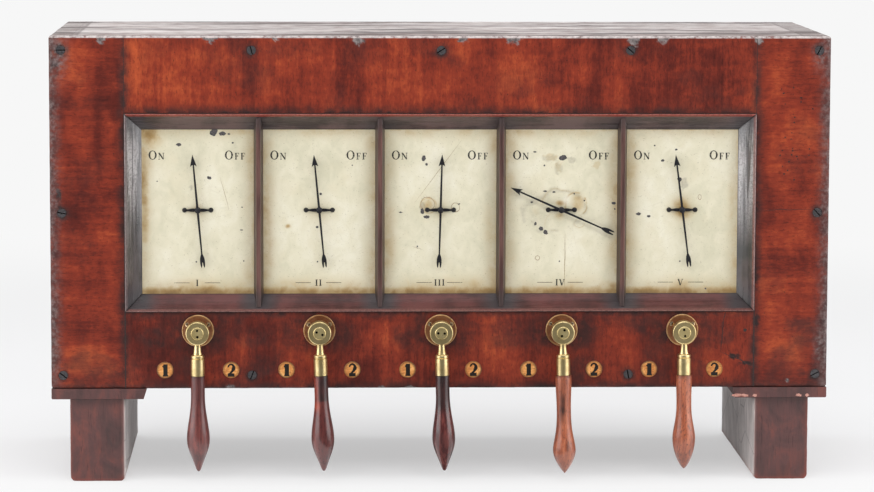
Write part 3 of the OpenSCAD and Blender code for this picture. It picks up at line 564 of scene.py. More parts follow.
DIAL_INK = ink("dial_ink", (46, 43, 40), (196, 188, 164), 0.58)
DISC_INK = ink("disc_ink", (30, 24, 20), (190, 126, 66), 0.68)
DARK_FLAKE = flaked("dark_flake", (98, 94, 94), (46, 43, 44))
SCRATCH = flaked("scratch", (184, 170, 140), (148, 130, 102))
RING_STAIN = flaked("ring_stain", (176, 158, 130), (138, 118, 98))
BLACK_LOSS = flaked("black_loss", (62, 46, 43), (32, 25, 25))
PALE_WOOD = flaked("pale_wood", (204, 156, 142), (156, 100, 88))


# Mesh tools

# Sides of large and small turned pieces, and the angle in degrees from which an edge stays sharp
ROUND_SIDES, SMALL_SIDES = 64, 32
CREASE = 40
WELD_GAP = 0.002 * MM


def linked(name, data):
    """New object in the scene."""
    made = bpy.data.objects.new(name, data)
    bpy.context.scene.collection.objects.link(made)
    return made


def piece(name, points, faces, material, slot, body="case", replaced=(), smooth=False, sharp=0, marks=None):
    """Mesh object on its body in the shared frame; smooth all over, or up to a sharp angle in degrees."""
    mesh = bpy.data.meshes.new(name)
    mesh.from_pydata(np.asarray(points).tolist(), [], [list(map(int, face)) for face in faces])
    mesh.validate()
    mesh.materials.append(material)
    if smooth or sharp:
        mesh.shade_smooth()
    if sharp:
        mesh.set_sharp_from_angle(angle=math.radians(sharp))
    made = linked(name, mesh)
    if marks is not None:
        paint_marks(made, marks)
    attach(made, body)
    if replaced:
        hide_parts(*replaced)
    return made


def places(mesh):
    """Places of a mesh's points as rows."""
    flat = np.empty(3 * len(mesh.vertices))
    mesh.vertices.foreach_get("co", flat)
    return flat.reshape(-1, 3)


def paint_marks(made, marks):
    """Stores soft marks and broken patches for each point of a mesh, worked out from its place."""
    mesh = made.data
    layers = np.broadcast_arrays(places(mesh)[:, 0], *marks(places(mesh)))[1:]
    values = np.ones((len(layers[0]), 4), np.float32)
    values[:, :3] = np.clip(np.stack(layers[:3], -1), 0, 1)
    mesh.color_attributes.new("marks", "FLOAT_COLOR", "POINT").data.foreach_set("color", values.ravel())
    broken = mesh.attributes.new("broken", "FLOAT", "POINT")
    broken.data.foreach_set("value", np.ascontiguousarray(np.clip(layers[3], 0, 1), np.float32))


def grid_lines(low, high, cell, radius):
    """Places of the mesh lines along one axis, closer over rounded ends."""
    bends = [radius * (1 - math.tan(math.radians(angle))) for angle in (45, 30, 15)]
    flat = np.linspace(low + radius, high - radius, max(1, round((high - low - 2 * radius) / cell)) + 1)
    return np.concatenate([[low + b for b in bends], flat, [high - b for b in reversed(bends)]])


def grid_quads(number, rows_join=False, columns_join=False):
    """Quads between neighbours in a grid of point numbers, whose ends may join."""
    number = np.pad(number, ((0, int(rows_join)), (0, int(columns_join))), mode="wrap")
    return np.stack([number[:-1, :-1], number[1:, :-1], number[1:, 1:], number[:-1, 1:]], -1).reshape(-1, 4)


def block_mesh(low, high, cells, radius):
    """Points and quads of a box with a grid on each face."""
    axes = [grid_lines(low[a], high[a], cells[a], radius) for a in range(3)]
    points = np.stack(np.meshgrid(*axes, indexing="ij"), -1)
    number = np.arange(points.size // 3).reshape(points.shape[:3])
    quads = []
    for a in range(3):
        sheets = number.transpose(a, (a + 1) % 3, (a + 2) % 3)
        quads += [grid_quads(sheets[0])[:, ::-1], grid_quads(sheets[-1])]
    used, faces = np.unique(np.concatenate(quads), return_inverse=True)
    return points.reshape(-1, 3)[used], faces.reshape(-1, 4)


def rounded(points, low, high, radius):
    """Points on a box moved onto its rounded edges, and the way out at each."""
    core = np.clip(points, low + radius, high - radius)
    out = points - core
    length = np.linalg.norm(out, axis=1, keepdims=True)
    out = out / np.maximum(length, 1e-9)
    return core + out * np.minimum(length, radius), out


def edge_wear(points, low, high, reach):
    """1 on the edges of a box, falling off within the reach."""
    gaps = np.sort(np.minimum(points - low, high - points), axis=1)
    return falloff(gaps[:, 1], reach)


def worn_block(name, node_box, envelope, cells, material, slot, node, marks, seed, radius=EDGE_R, shape=None):
    """Board or block whose outer edges are rounded and unevenly worn."""
    points, faces = block_mesh(*node_box, cells, radius)
    worn, out = rounded(points, *envelope, radius)
    x, y, z = points.T
    uneven = clouds(seed, (x + 0.7 * y) / WEAR_CELL, (z + 0.7 * y) / WEAR_CELL)
    wear = edge_wear(points, *envelope, WEAR_REACH) * np.clip(uneven - 0.3, 0, 1)
    worn = worn - out * (0.4 * radius * wear)[:, None]
    if shape:
        worn = shape(worn)
    return piece(name, worn, faces, material, slot, replaced=[node], smooth=True, marks=marks)


def cut_round(made, holes, marks):
    """Sinks round holes (x, z, radius, depth) into the front of a piece and repaints its marks."""
    plugs = Relief(FRONT_Y, CUTTER_RISE)
    for x, z, radius, depth in holes:
        plugs.back = FRONT_Y + depth
        plugs.prism(bow(x, z, radius, radius, 0, 360, HOLE_SIDES + 1)[:-1])
    mesh = bpy.data.meshes.new("cutter")
    mesh.from_pydata(plugs.points, [], [face.tolist() for face in plugs.faces])
    cutter = linked("cutter", mesh)
    cut = made.modifiers.new("holes", "BOOLEAN")
    cut.object = cutter
    cut.operation = "DIFFERENCE"
    cut.solver = "EXACT"
    shaped = bpy.data.meshes.new_from_object(made.evaluated_get(bpy.context.evaluated_depsgraph_get()))
    made.modifiers.remove(cut)
    bpy.data.objects.remove(cutter)
    old = made.data
    made.data = shaped
    bpy.data.meshes.remove(old)
    shaped.name = made.name
    for name in ("marks", "broken"):
        shaped.attributes.remove(shaped.attributes[name])
    paint_marks(made, marks)
    shaped.set_sharp_from_angle(angle=math.radians(HOLE_CREASE))


def bow(x, z, half_w, half_h, first, last, count=28):
    """Points on an oval between two angles in degrees."""
    turn = np.radians(np.linspace(first, last, count))
    return np.stack([x + half_w * np.cos(turn), z + half_h * np.sin(turn)], -1)


class Relief:
    """Closed shapes gathered into one mesh; each stands a step further proud of a face at one y."""

    step = 0.001 * MM

    def __init__(self, y, proud, sunk=0.3 * MM):
        self.front = y - proud
        self.back = y + sunk
        self.points = []
        self.faces = []

    def prism(self, outline):
        """Flat shape inside an outline that runs counter-clockwise in x and z."""
        start, count = len(self.points), len(outline)
        self.points += [(x, y, z) for y in (self.front, self.back) for x, z in outline]
        number = start + np.arange(2 * count).reshape(2, count)
        self.faces += [number[0], number[1, ::-1], *grid_quads(number, columns_join=True)]
        self.front -= self.step

    def patch(self, x, z, width, height, seed):
        """Oval flake with a broken outline; sizes in mm, centre in metres."""
        turn = np.linspace(0, 2 * math.pi, 26, endpoint=False)
        reach = 0.55 + 0.9 * clouds(seed, 1.6 * np.cos(turn) + 9, 1.6 * np.sin(turn) + 9, 3)
        across = x + 0.5 * width * MM * reach * np.cos(turn)
        up = z + 0.5 * height * MM * reach * np.sin(turn)
        self.prism(np.stack([across, up], -1))

    def ribbon(self, path, width, closed=False):
        """Stroke along a path in x and z, of one width or a width for each point."""
        path = np.asarray(path, float)
        if closed:
            way = np.roll(path, -1, 0) - np.roll(path, 1, 0)
        else:
            way = np.gradient(path, axis=0)
        way = way / np.linalg.norm(way, axis=1, keepdims=True)
        half = np.stack([-way[:, 1], way[:, 0]], -1) * np.reshape(width, (-1, 1)) / 2
        start, count = len(self.points), len(path)
        for right, left in zip(path - half, path + half):
            ring = ((right, self.front), (left, self.front), (left, self.back), (right, self.back))
            self.points += [(side[0], y, side[1]) for side, y in ring]
        number = start + np.arange(4 * count).reshape(count, 4)
        ends = [] if closed else [number[0], number[-1, ::-1]]
        self.faces += [*grid_quads(number, closed, True), *ends]
        self.front -= self.step

    def shape(self):
        return np.array(self.points), self.faces

    def finish(self, name, material, slot):
        return piece(name, *self.shape(), material, slot)


def crack(seed, x0, z0, x1, z1, width, count, sway, waves, pinned, thin):
    """Wandering line between two places in mm: its points, and its width at each."""
    share = np.linspace(0, 1, count)
    swell = np.sin(math.pi * share)
    bend = sway * (clouds(seed, waves * share, 0 * share) - 0.5) * swell ** pinned
    path = np.stack([x0 + (x1 - x0) * share + bend, z0 + (z1 - z0) * share + bend], -1)
    return path * MM, width * (thin + swell) * MM


def turned(profile, x, z, closed, sides=ROUND_SIDES):
    """Points and faces of a profile (distance from the axis, y) turned about an axis along y."""
    turn = np.linspace(0, 2 * math.pi, sides, endpoint=False)
    reach, y = np.asarray(profile, float).T
    across, up = x + np.outer(np.cos(turn), reach), z + np.outer(np.sin(turn), reach)
    points = np.stack([across, np.broadcast_to(y, across.shape), up], -1).reshape(-1, 3)
    number = np.arange(across.size).reshape(across.shape).T
    ends = [] if closed else [number[0], number[-1, ::-1]]
    return points, [*grid_quads(number, closed, True), *ends]


def dome(rim_y, rise, inner, outer, count, power=2):
    """Profile for turning that rises from its rim towards the axis."""
    reach = np.linspace(inner, outer, count)
    return np.stack([reach, rim_y - rise * (1 - (reach / outer) ** power)], -1).tolist()


def gathered(shapes):
    """Joins the points and faces of several shapes."""
    points, faces, start = [], [], 0
    for own_points, own_faces in shapes:
        points.append(own_points)
        faces += [[start + index for index in face] for face in own_faces]
        start += len(own_points)
    return np.concatenate(points), faces


# Woodwork of the case

# Lighter and darker places of the veneer: x, z, half width, half height in mm, and strength
TONE_SPOTS = (
    (-335, 480, 28, 60, 0.10), (-230, 480, 24, 60, -0.05), (-160, 480, 30, 60, 0.06),
    (-60, 480, 30, 60, 0.05), (90, 480, 36, 60, 0.09), (300, 480, 50, 60, -0.06),
    (-412, 145, 34, 26, 0.20), (-420, 330, 30, 50, -0.06), (-400, 250, 34, 14, -0.10),
    (-401, 419, 6, 50, -0.10), (408, 165, 28, 40, 0.16), (400, 430, 40, 60, 0.10),
    (405, 270, 40, 60, 0.05), (-330, 150, 40, 30, -0.06), (-232, 165, 18, 26, 0.12),
    (-72, 170, 26, 24, 0.08), (72, 165, 34, 26, 0.10), (214, 160, 30, 26, 0.08),
)

# Broken veneer and bare spots: x, z, half width, half height in mm
CHIPS = (
    (-395, 523, 5, 8), (-269, 523, 8, 7), (-193, 523, 5, 6), (-97, 523, 9, 8), (25, 523, 7, 6),
    (85, 523, 10, 9), (224, 521, 8, 9), (258, 523, 7, 7), (371, 523, 6, 7), (411, 118, 3, 2),
    (-247, 111, 6, 4), (-70, 111, 4, 3), (-35, 111, 7, 3),
)

# Corners rubbed to bare slate grey: x, z, half width, half height in mm
GREY_CORNERS = (
    (-447, 500, 11, 26), (447, 503, 10, 18), (448, 160, 6, 24),
)

# Places where the polish has gone black: x, z, half width, half height in mm
BLACK_PATCHES = (
    (348, 147, 9, 4), (362, 139, 11, 3), (-449, 488, 6, 12), (-447, 330, 4, 20), (372, 190, 4, 12),
    (-372, 186, 4, 14),
)

# Cracks in the veneer: one end, other end and width in mm
FRONT_CRACKS = (
    (335, 199, 331, 152, 0.7), (331, 152, 376, 133, 0.8), (338, 205, 331, 180, 0.5),
    (372, 320.5, 437, 321.5, 0.5),
)

# Open joints beside the window, above it and along its edges: widths
BESIDE_W, ABOVE_W, EDGE_W = 1.4 * MM, 0.6 * MM, 1.6 * MM

# A lost flake of polish: x, z, width and height in mm
LOST_FLAKE = (359.5, 178, 4, 3.6)

# Specks: their number, the start and length of their area in x and z, and their height in mm
SPECKS, SPECK_X, SPECK_Z, SPECK_H = 26, (398, 40), (350, 115), 1.8

# Chips of the right cap: x and width, their drop below the case, and their height in mm
CAP_CHIPS = ((350, 14), (360, 9), (372, 5), (424, 7), (434, 5))
CHIP_DROP, CHIP_H = 9.5, 3.6

# How far the rounding of a foot's edges runs on above its top
UNDER_CAP = 20 * MM


def front_marks(points):
    """Grime round the window, screws and edges, with painted shade in the rings round the sunk screws and
    round the handles, worn outer edges, the veneer's tone, and chips.
    """
    x, y, z = points.T
    above, below = z - WINDOW_HIGH, WINDOW_LOW - z
    outside = np.hypot(np.maximum(np.abs(x) - WINDOW_X, 0), most(below, above, 0))
    side = CASE_HIGH[0] - np.abs(x)
    mx, mz = x / MM, z / MM
    uneven = clouds(11, mx / 24, mz / 24, 5)
    patchy = clouds(14, mx / 42, mz / 34, 4)
    lower = ease(below / (10 * MM))
    screws = [np.hypot(x - screw_x, z - screw_z) - SCREW_HEAD_R for screw_x, screw_z in SCREWS]
    handles = [np.hypot((x - axis.x) / 1.7, z - axis.z) - 15 * MM for axis in AXES]
    grime = most(
        0.95 * falloff(outside, 8 * MM),
        0.9 * falloff(z - BASE_Z, 8 * MM),
        0.3 * falloff(TOP_Z - z, 6 * MM),
        0.9 * falloff(np.abs(np.abs(x) - WINDOW_X), 6 * MM),
        # Grime and painted shade in a ring round each sunk screw head.
        0.95 * falloff(reduce(np.minimum, screws), 4.5 * MM),
        # Grime and painted shadow round the handles' roses and bosses.
        0.8 * falloff(reduce(np.minimum, handles), 13 * MM),
        lower * 0.55 * ease((patchy - 0.44) * 5),
        0.28 * ease((patchy - 0.55) * 5),
        0.8 * falloff(side, 12 * MM),
    )
    black = [ragged(300 + number, mx, mz, *place) for number, place in enumerate(BLACK_PATCHES)]
    grime = most(grime * (0.5 + 0.85 * uneven), *black)
    grey = [0.95 * spread(mx, mz, *place) * (0.5 + 0.8 * uneven) for place in GREY_CORNERS]
    wear = most(0.9 * falloff(side - 1 * MM, 9 * MM) * (0.45 + 0.9 * uneven), *grey)
    tone = 0.5 + sum(strength * spread(mx, mz, *place) for *place, strength in TONE_SPOTS)
    tone = tone + 0.18 * (clouds(17, mx / 30, mz / 60, 3) - 0.5) - 0.03 * lower
    chips = most(*[ragged(330 + number, mx, mz, *place) for number, place in enumerate(CHIPS)])
    return grime, wear, tone, chips


def front_frame():
    """Four veneered members with sunk screws, discs and bushes."""
    holes = [(x, z, radius, depth) for centres, radius, depth in HOLES for x, z in centres]
    members = ("front_stile_left", "front_stile_right", "front_top_rail", "front_bottom_rail")
    for number, node in enumerate(members):
        rail = "rail" in node
        low, high = corners(node)
        low[0] += rail * JOINT_GAP
        high[0] -= rail * JOINT_GAP
        made = worn_block(
            f"veneered_{node}", (low, high), (CASE_LOW, CASE_HIGH), FRONT_CELLS,
            VENEER_UP if rail else VENEER_CROSS, "mahogany_veneer", node, front_marks, 20 + number,
        )
        own = [hole for hole in holes if low[0] < hole[0] < high[0] and low[2] < hole[1] < high[2]]
        cut_round(made, own, front_marks)


def front_damage():
    """Cracks and lost polish on the front, open joints round the window, chips of the right cap."""
    cracks = Relief(FRONT_Y, LINE_PROUD)
    for seed, row in enumerate(FRONT_CRACKS):
        cracks.ribbon(*crack(210 + seed, *row, count=24, sway=4, waves=5, pinned=1, thin=0.3))
    for side in (-WINDOW_X, WINDOW_X):
        cracks.ribbon([(side, BASE_Z + 1 * MM), (side, WINDOW_HIGH)], BESIDE_W)
        cracks.ribbon([(side, WINDOW_HIGH), (side, TOP_Z - EDGE_R)], ABOVE_W)
    for z in (WINDOW_LOW, WINDOW_HIGH):
        cracks.ribbon([(-WINDOW_X, z), (WINDOW_X, z)], EDGE_W)
    flake_x, flake_z, *flake_size = LOST_FLAKE
    cracks.patch(flake_x * MM, flake_z * MM, *flake_size, 415)
    for number in range(SPECKS):
        across, up, size = lattice(400, np.array([number, number + 50, number + 100]), 7)
        x, z = (start + length * share for (start, length), share in ((SPECK_X, across), (SPECK_Z, up)))
        cracks.patch(x * MM, z * MM, 1 + 2 * size, SPECK_H, 420 + number)
    cracks.finish("polish_damage", BLACK_LOSS, "mahogany_veneer")
    caps = Relief(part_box("foot_caps")[0].y, CHIP_PROUD)
    for number, (x, width) in enumerate(CAP_CHIPS):
        caps.patch(x * MM, BASE_Z - CHIP_DROP * MM, width, CHIP_H, 460 + number)
    caps.finish("chipped_cap", PALE_WOOD, "foot_wood")


def carcass_marks(points):
    """Weathered top, worn edges and dusty upper faces of the carcass."""
    x, y, z = points.T
    on_top = falloff(TOP_Z - z, 1.5 * MM)
    on_side = np.abs(x) > CASE_HIGH[0] - EDGE_R
    along, up = np.where(on_side, y, x), np.where(on_top > 0.5, y, z)
    uneven = clouds(31, along / (70 * MM), up / (34 * MM), 5)
    streaks = clouds(33, x / (150 * MM), y / (26 * MM), 4)
    edges = edge_wear(points, CASE_LOW, CASE_HIGH, 5 * MM)
    wear = most(0.95 * on_top, edges * (0.3 + 0.6 * uneven), 0.07 * ease((uneven - 0.45) * 3))
    back_strip = falloff(CASE_HIGH[1] - 18 * MM - y, 10 * MM)
    past_joint = np.abs(x) - (CASE_HIGH[0] - END_CLEAT)
    grime = most(
        0.5 * falloff(z - BASE_Z, 16 * MM) * (0.4 + uneven),
        on_top * 0.75 * ease((streaks - 0.56) * 11),
        on_top * back_strip * 0.8 * ease((uneven - 0.35) * 4),
        on_top * 0.35 * ease(past_joint / (2 * MM)) * (0.5 + uneven),
        on_top * 0.95 * falloff(np.abs(past_joint), 1.6 * MM),
    )
    pale = on_top * falloff(y - FRONT_Y - 16 * MM, 16 * MM) * uneven
    return grime, wear, pale, 0.0


def carcass():
    """Boards of the case behind the front frame."""
    boards = ("top_board", "bottom_board", "side_board_left", "side_board_right", "back_board")
    for number, node in enumerate(boards):
        low, high = corners(node)
        inset = np.where(np.isclose(low, CASE_LOW) | np.isclose(high, CASE_HIGH), 0, JOINT_GAP / 2)
        worn_block(
            f"worn_{node}", (low + inset, high - inset), (CASE_LOW, CASE_HIGH), BOARD_CELLS, CASE_WOOD,
            "weathered_case", node, carcass_marks, 40 + number,
        )


def foot_marks(points):
    """Grey bare wood on the inner faces, painted pale there as painted light and sheen, red worn arrises,
    dirt under the caps.
    """
    x, y, z = points.T
    uneven = clouds(51, (x + y) / (26 * MM), z / (26 * MM), 5)
    foot_low, foot_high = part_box("foot_right")
    inner = falloff(np.abs(x) - foot_low.x, 1.2 * MM)
    # Inner faces: grey bare wood, given the pale second mark that also stands in for light and sheen.
    wear = inner * (0.8 + 0.3 * uneven)
    sides = np.minimum(np.abs(np.abs(x) - foot_low.x), np.abs(np.abs(x) - foot_high.x))
    corner = np.hypot(np.minimum(sides, 30 * MM), z)
    front_edge = np.hypot(sides, y - FRONT_Y)
    low_arris = most(falloff(corner, 6 * MM), 0.7 * falloff(z, 2.5 * MM)) * (0.2 + uneven)
    arris = most(low_arris, 0.7 * falloff(front_edge, 2.2 * MM) * uneven)
    patches = 0.3 * ease((uneven - 0.5) * 4) * (1 - inner)
    grime = most(0.8 * falloff(foot_high.z - z, 7 * MM), patches)
    return grime * (0.5 + 0.6 * uneven), wear, arris, 0.0


def foot_corners(low, high):
    """Turns the square lower corners of a foot into worn round ones."""
    def shape(points):
        middle = (low[0] + high[0]) / 2
        half = (high[0] - low[0]) / 2 - FOOT_R
        across = points[:, 0] - middle
        out = np.maximum(np.abs(across) - half, 0)
        down = np.maximum(low[2] + FOOT_R - points[:, 2], 0)
        share = np.maximum(out, down) / np.maximum(np.hypot(out, down), 1e-9)
        share = np.where(np.minimum(out, down) > 0, share, 1)
        shaped = points.copy()
        shaped[:, 0] = np.where(out > 0, middle + np.sign(across) * (half + out * share), points[:, 0])
        shaped[:, 2] = np.where(down > 0, low[2] + FOOT_R - down * share, points[:, 2])
        return shaped
    return shape


def feet():
    """Two block feet, whose upper edges stay square under the caps."""
    for number, node in enumerate(("foot_left", "foot_right")):
        low, high = corners(node)
        envelope = (low, high + np.array([0, 0, UNDER_CAP]))
        worn_block(
            f"worn_{node}", (low, high), envelope, FOOT_CELLS, FOOT_WOOD, "foot_wood", node, foot_marks,
            60 + number, FOOT_EDGE_R, foot_corners(low, high),
        )


def dress(nodes, material, bevel=0.0):
    """Gives CAD nodes their material, with softly broken edges where a width is given."""
    for node in nodes:
        shown = frame["nodes"][node]
        shown.data.materials.clear()
        shown.data.materials.append(material)
        if bevel:
            weld = shown.modifiers.new("joined", "WELD")
            weld.merge_threshold = WELD_GAP
            soft = shown.modifiers.new("broken_edges", "BEVEL")
            soft.width = bevel
            soft.segments = 3
            soft.limit_method = "ANGLE"
            soft.angle_limit = math.radians(CREASE)
            soft.harden_normals = True


def numbered(stem):
    return [f"{stem}_{k}" for k in STATIONS]


def dress_nodes():
    """Materials of the CAD nodes that show as they are."""
    for node, material in MOULDINGS.items():
        dress([node], material, 0.3 * MM)
    dress(["window_bars"], BAR_WOOD, 0.6 * MM)
    dress(["foot_caps"], FOOT_WOOD, 0.8 * MM)
    dress(["front_screws"], SCREW_BLACK)
    dress(["pivot_bridges", *numbered("pointer")], NEEDLE_BLACK)
    dress(numbered("handle_arm"), ARM_BRASS)
    dress(numbered("handle_nut"), NUT_BRASS)
    dress(["label_discs", *numbered("commutator")], BOXWOOD)
    dress([*numbered("pointer_spindle")], STEEL)
    dress(["coil_frames", "contact_springs", "terminal_posts"], ROSE_BRASS)
    dress(["coil_windings"], COIL_SILK)
    dress(["dial_board", "spindle_rail"], CASE_WOOD)


# Roses

ROSE_LOW, ROSE_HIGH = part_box("rose_plates")
ROSE_R = (ROSE_HIGH.z - ROSE_LOW.z) / 2
RIM_W, RIM_H = 1.6 * MM, 0.7 * MM
ROSE_FACE = ROSE_LOW.y + RIM_H
ROSE_BORE, ROSE_DOME = 4.05 * MM, 0.4 * MM
HEAD_R, HEAD_RISE, HEAD_REACH = 2.95 * MM, 0.5 * MM, 14 * MM
SHANK_R, SHANK_END = 1.4 * MM, FRONT_Y + 12 * MM
SLOT_HALF, SLOT_W = 1.7 * MM, 0.9 * MM
HEAD_TURNS = (30, 150, 270)
SLOT_TURNS = (20, 75, 140, 5, 110)


def roses():
    """Faintly domed roses with a rolled rim and a bush, and the round heads of their screws."""
    inner = ROSE_R - RIM_W
    face = dome(ROSE_FACE, ROSE_DOME, ROSE_BORE, inner, 14)
    bush = [(inner, FRONT_Y), (BUSH_R, FRONT_Y), (BUSH_R, ROSE_HIGH.y), (ROSE_BORE, ROSE_HIGH.y)]
    rolled = bow((inner + ROSE_R) / 2, ROSE_FACE, RIM_W / 2, -RIM_H, 180, 0, 11).tolist()
    rim = [*rolled, (ROSE_R, FRONT_Y), (inner, FRONT_Y)]
    for name, profile, material in (
        ("turned_roses", [*face, *bush], ROSE_BRASS), ("rose_rims", rim, RIM_BRASS_PAINTED_HIGHLIGHT),
    ):
        shapes = gathered([turned(profile, axis.x, axis.z, True) for axis in AXES])
        piece(name, *shapes, material, "brass", replaced=["rose_plates"], sharp=CREASE)
    heads = []
    slots = Relief(ROSE_FACE - HEAD_RISE, SLOT_PROUD)
    cap = dome(ROSE_FACE, HEAD_RISE, 0.3 * MM, HEAD_R, 7)
    shank = [(SHANK_R, ROSE_FACE + HEAD_R - SHANK_R), (SHANK_R, SHANK_END)]
    for axis, first in zip(AXES, SLOT_TURNS):
        for turn in HEAD_TURNS:
            x = axis.x + HEAD_REACH * math.cos(math.radians(turn))
            z = axis.z + HEAD_REACH * math.sin(math.radians(turn))
            heads.append(turned([*cap, *shank], x, z, False, SMALL_SIDES))
            way = math.radians(first + turn)
            end = np.array([math.cos(way), math.sin(way)]) * SLOT_HALF
            slots.ribbon([(x, z) - end, (x, z) + end], SLOT_W)
    piece("rose_screw_heads", *gathered(heads), SCREW_BRASS, "brass", replaced=["rose_screws"], sharp=CREASE)
    slots.finish("rose_screw_slots", BLACK_LOSS, "brass")


# Needles: the right half of the outline, tail to tip, in mm across and along from the pivot
NEEDLE_HALF = (
    (0.35, -61.5), (0.9, -66), (1.7, -68), (2.4, -66.5), (2.9, -62), (2.8, -58), (2.2, -55),
    (0.85, -51.5), (1.35, 0), (0.9, 54), (3.9, 52), (0, 66),
)
HUB_R, HUB_DOME, BLADE_FROM = 3.25 * MM, 1.0 * MM, 20 * MM

# Bridges: the upper half of an arm's outline from the pivot outwards, in mm along and up
ARM_HALF = ((2.4, 1.5), (5, 1.9), (8, 1.7), (11.5, 1.0), (15.5, 1.3))
ARM_T, KNOB_R, KNOB_T = 2.2 * MM, 2.9 * MM, 3.4 * MM
BOSS_R, BOSS_BORE = 3.6 * MM, 1.7 * MM


def bridges():
    """Slim bridges: a bored boss, two swelling arms and a round knob at each end."""
    boss_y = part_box("pivot_bridges")[0].y
    ring = ((BOSS_BORE, boss_y), (BOSS_R, boss_y), (BOSS_R, DIAL_Y), (BOSS_BORE, DIAL_Y))
    knob = dome(DIAL_Y, KNOB_T, 0.2 * MM, KNOB_R, 9, 3)
    half = np.array(ARM_HALF) * MM
    outline = np.concatenate([half * (1, -1), half[::-1]])
    arms = Relief(DIAL_Y, ARM_T, 0)
    shapes = []
    for pivot in PIVOTS:
        shapes.append(turned(ring, pivot.x, pivot.z, True, SMALL_SIDES))
        for side in (-1, 1):
            arms.prism(outline[::side] * (side, 1) + (pivot.x, pivot.z))
            shapes.append(turned(knob, pivot.x + side * half[-1, 0], pivot.z, False, SMALL_SIDES))
    made = gathered([*shapes, arms.shape()])
    piece("slim_bridges", *made, NEEDLE_BLACK, "black_iron", replaced=["pivot_bridges"], sharp=CREASE)


def needles():
    """Flat needles with a barbed head, a forked bud for a tail and a domed hub."""
    across, along = np.array([*NEEDLE_HALF, *[(-u, v) for u, v in NEEDLE_HALF[-2::-1]]]).T * MM
    for number, pivot in zip(STATIONS, PIVOTS):
        node = f"pointer_{number}"
        points = places(frame["nodes"][node].data) - np.array([pivot.x, 0, pivot.z])
        reach = np.hypot(points[:, 0], points[:, 2])
        tail = points[reach > 0.999 * reach.max()].mean(axis=0)
        up_x, up_z = -tail[[0, 2]] / np.hypot(tail[0], tail[2])
        outline = (pivot.x + across * up_z + along * up_x, pivot.z - across * up_x + along * up_z)
        blade_y = points[reach > BLADE_FROM, 1]
        blade = Relief(blade_y.max(), np.ptp(blade_y), 0)
        blade.prism(np.stack(outline, -1))
        front, back = points[:, 1].min(), points[:, 1].max()
        profile = [*dome(front + HUB_DOME, HUB_DOME, 0.2 * MM, HUB_R, 8), (HUB_R, back)]
        hub = turned(profile, pivot.x, pivot.z, False, SMALL_SIDES)
        piece(
            f"shaped_{node}", *gathered([blade.shape(), hub]), NEEDLE_BLACK, "black_iron", f"needle_{number}",
            [node], sharp=CREASE,
        )


# Grips

GRIP_TURNS, GRIP_RINGS = 72, 110
FERRULE_R = 6.5 * MM
DENT_DEPTH, DENT_CELL, SLIM_R = 0.35 * MM, 14 * MM, 6 * MM
GRIP_CREASE = 50


def grip_profile(number):
    """Axis of a grip, and the distance of its solid's points along and from that axis."""
    points = places(frame["nodes"][f"handle_grip_{number}"].data)
    axis = AXES[number - 1]
    tip = points[np.argmin(points[:, 2])]
    down = np.array([tip[0] - axis.x, 0, tip[2] - axis.z])
    down /= np.linalg.norm(down)
    start = np.array([axis.x, (points[:, 1].min() + points[:, 1].max()) / 2, axis.z])
    along = (points - start) @ down
    radius = np.linalg.norm(points - start - np.outer(along, down), axis=1)
    return start, down, along, radius


def grip_marks(number, top, length):
    """Handling stains of each grip: dark bands and streaks, and bright places beside them."""
    def marks(points):
        x, y, z = points.T
        share = (top - z) / length
        around = (x - AXES[number - 1].x) / MM
        uneven = clouds(70 + number, around / 6, z / (16 * MM), 5)
        dark = [0.5 * falloff(share, 0.03)]
        rub = np.zeros_like(x)
        if number == 1:
            dark.append(0.8 * falloff(np.abs(share - 0.84), 0.05) * uneven)
        if number == 2:
            dark.append(0.9 * ease((0.27 - share) / 0.02) * ease((around + 1.5) / 2) * (0.3 + uneven))
            ring = falloff(np.abs(share - 0.31), 0.05) * ease((2 - around) / 4)
            rub = most(ring, 0.7 * ease((0.25 - share) / 0.03) * ease((-around - 1) / 2) * uneven)
        if number == 3:
            dark.append(0.85 * ease((0.42 - share) / 0.12) * (0.5 + 0.8 * uneven))
        if number == 4:
            dark.append(1.7 * falloff(np.abs(around), 3.5) * falloff(np.abs(share - 0.26), 0.2) * uneven)
            dark.append(0.9 * falloff(np.abs(around - 6), 3) * falloff(np.abs(share - 0.72), 0.08) * uneven)
        if number > 3:
            dark.append(0.5 * ease((share - 0.55) / 0.45) * (0.3 + uneven))
        return most(*dark), rub, 0.0, 0.0
    return marks


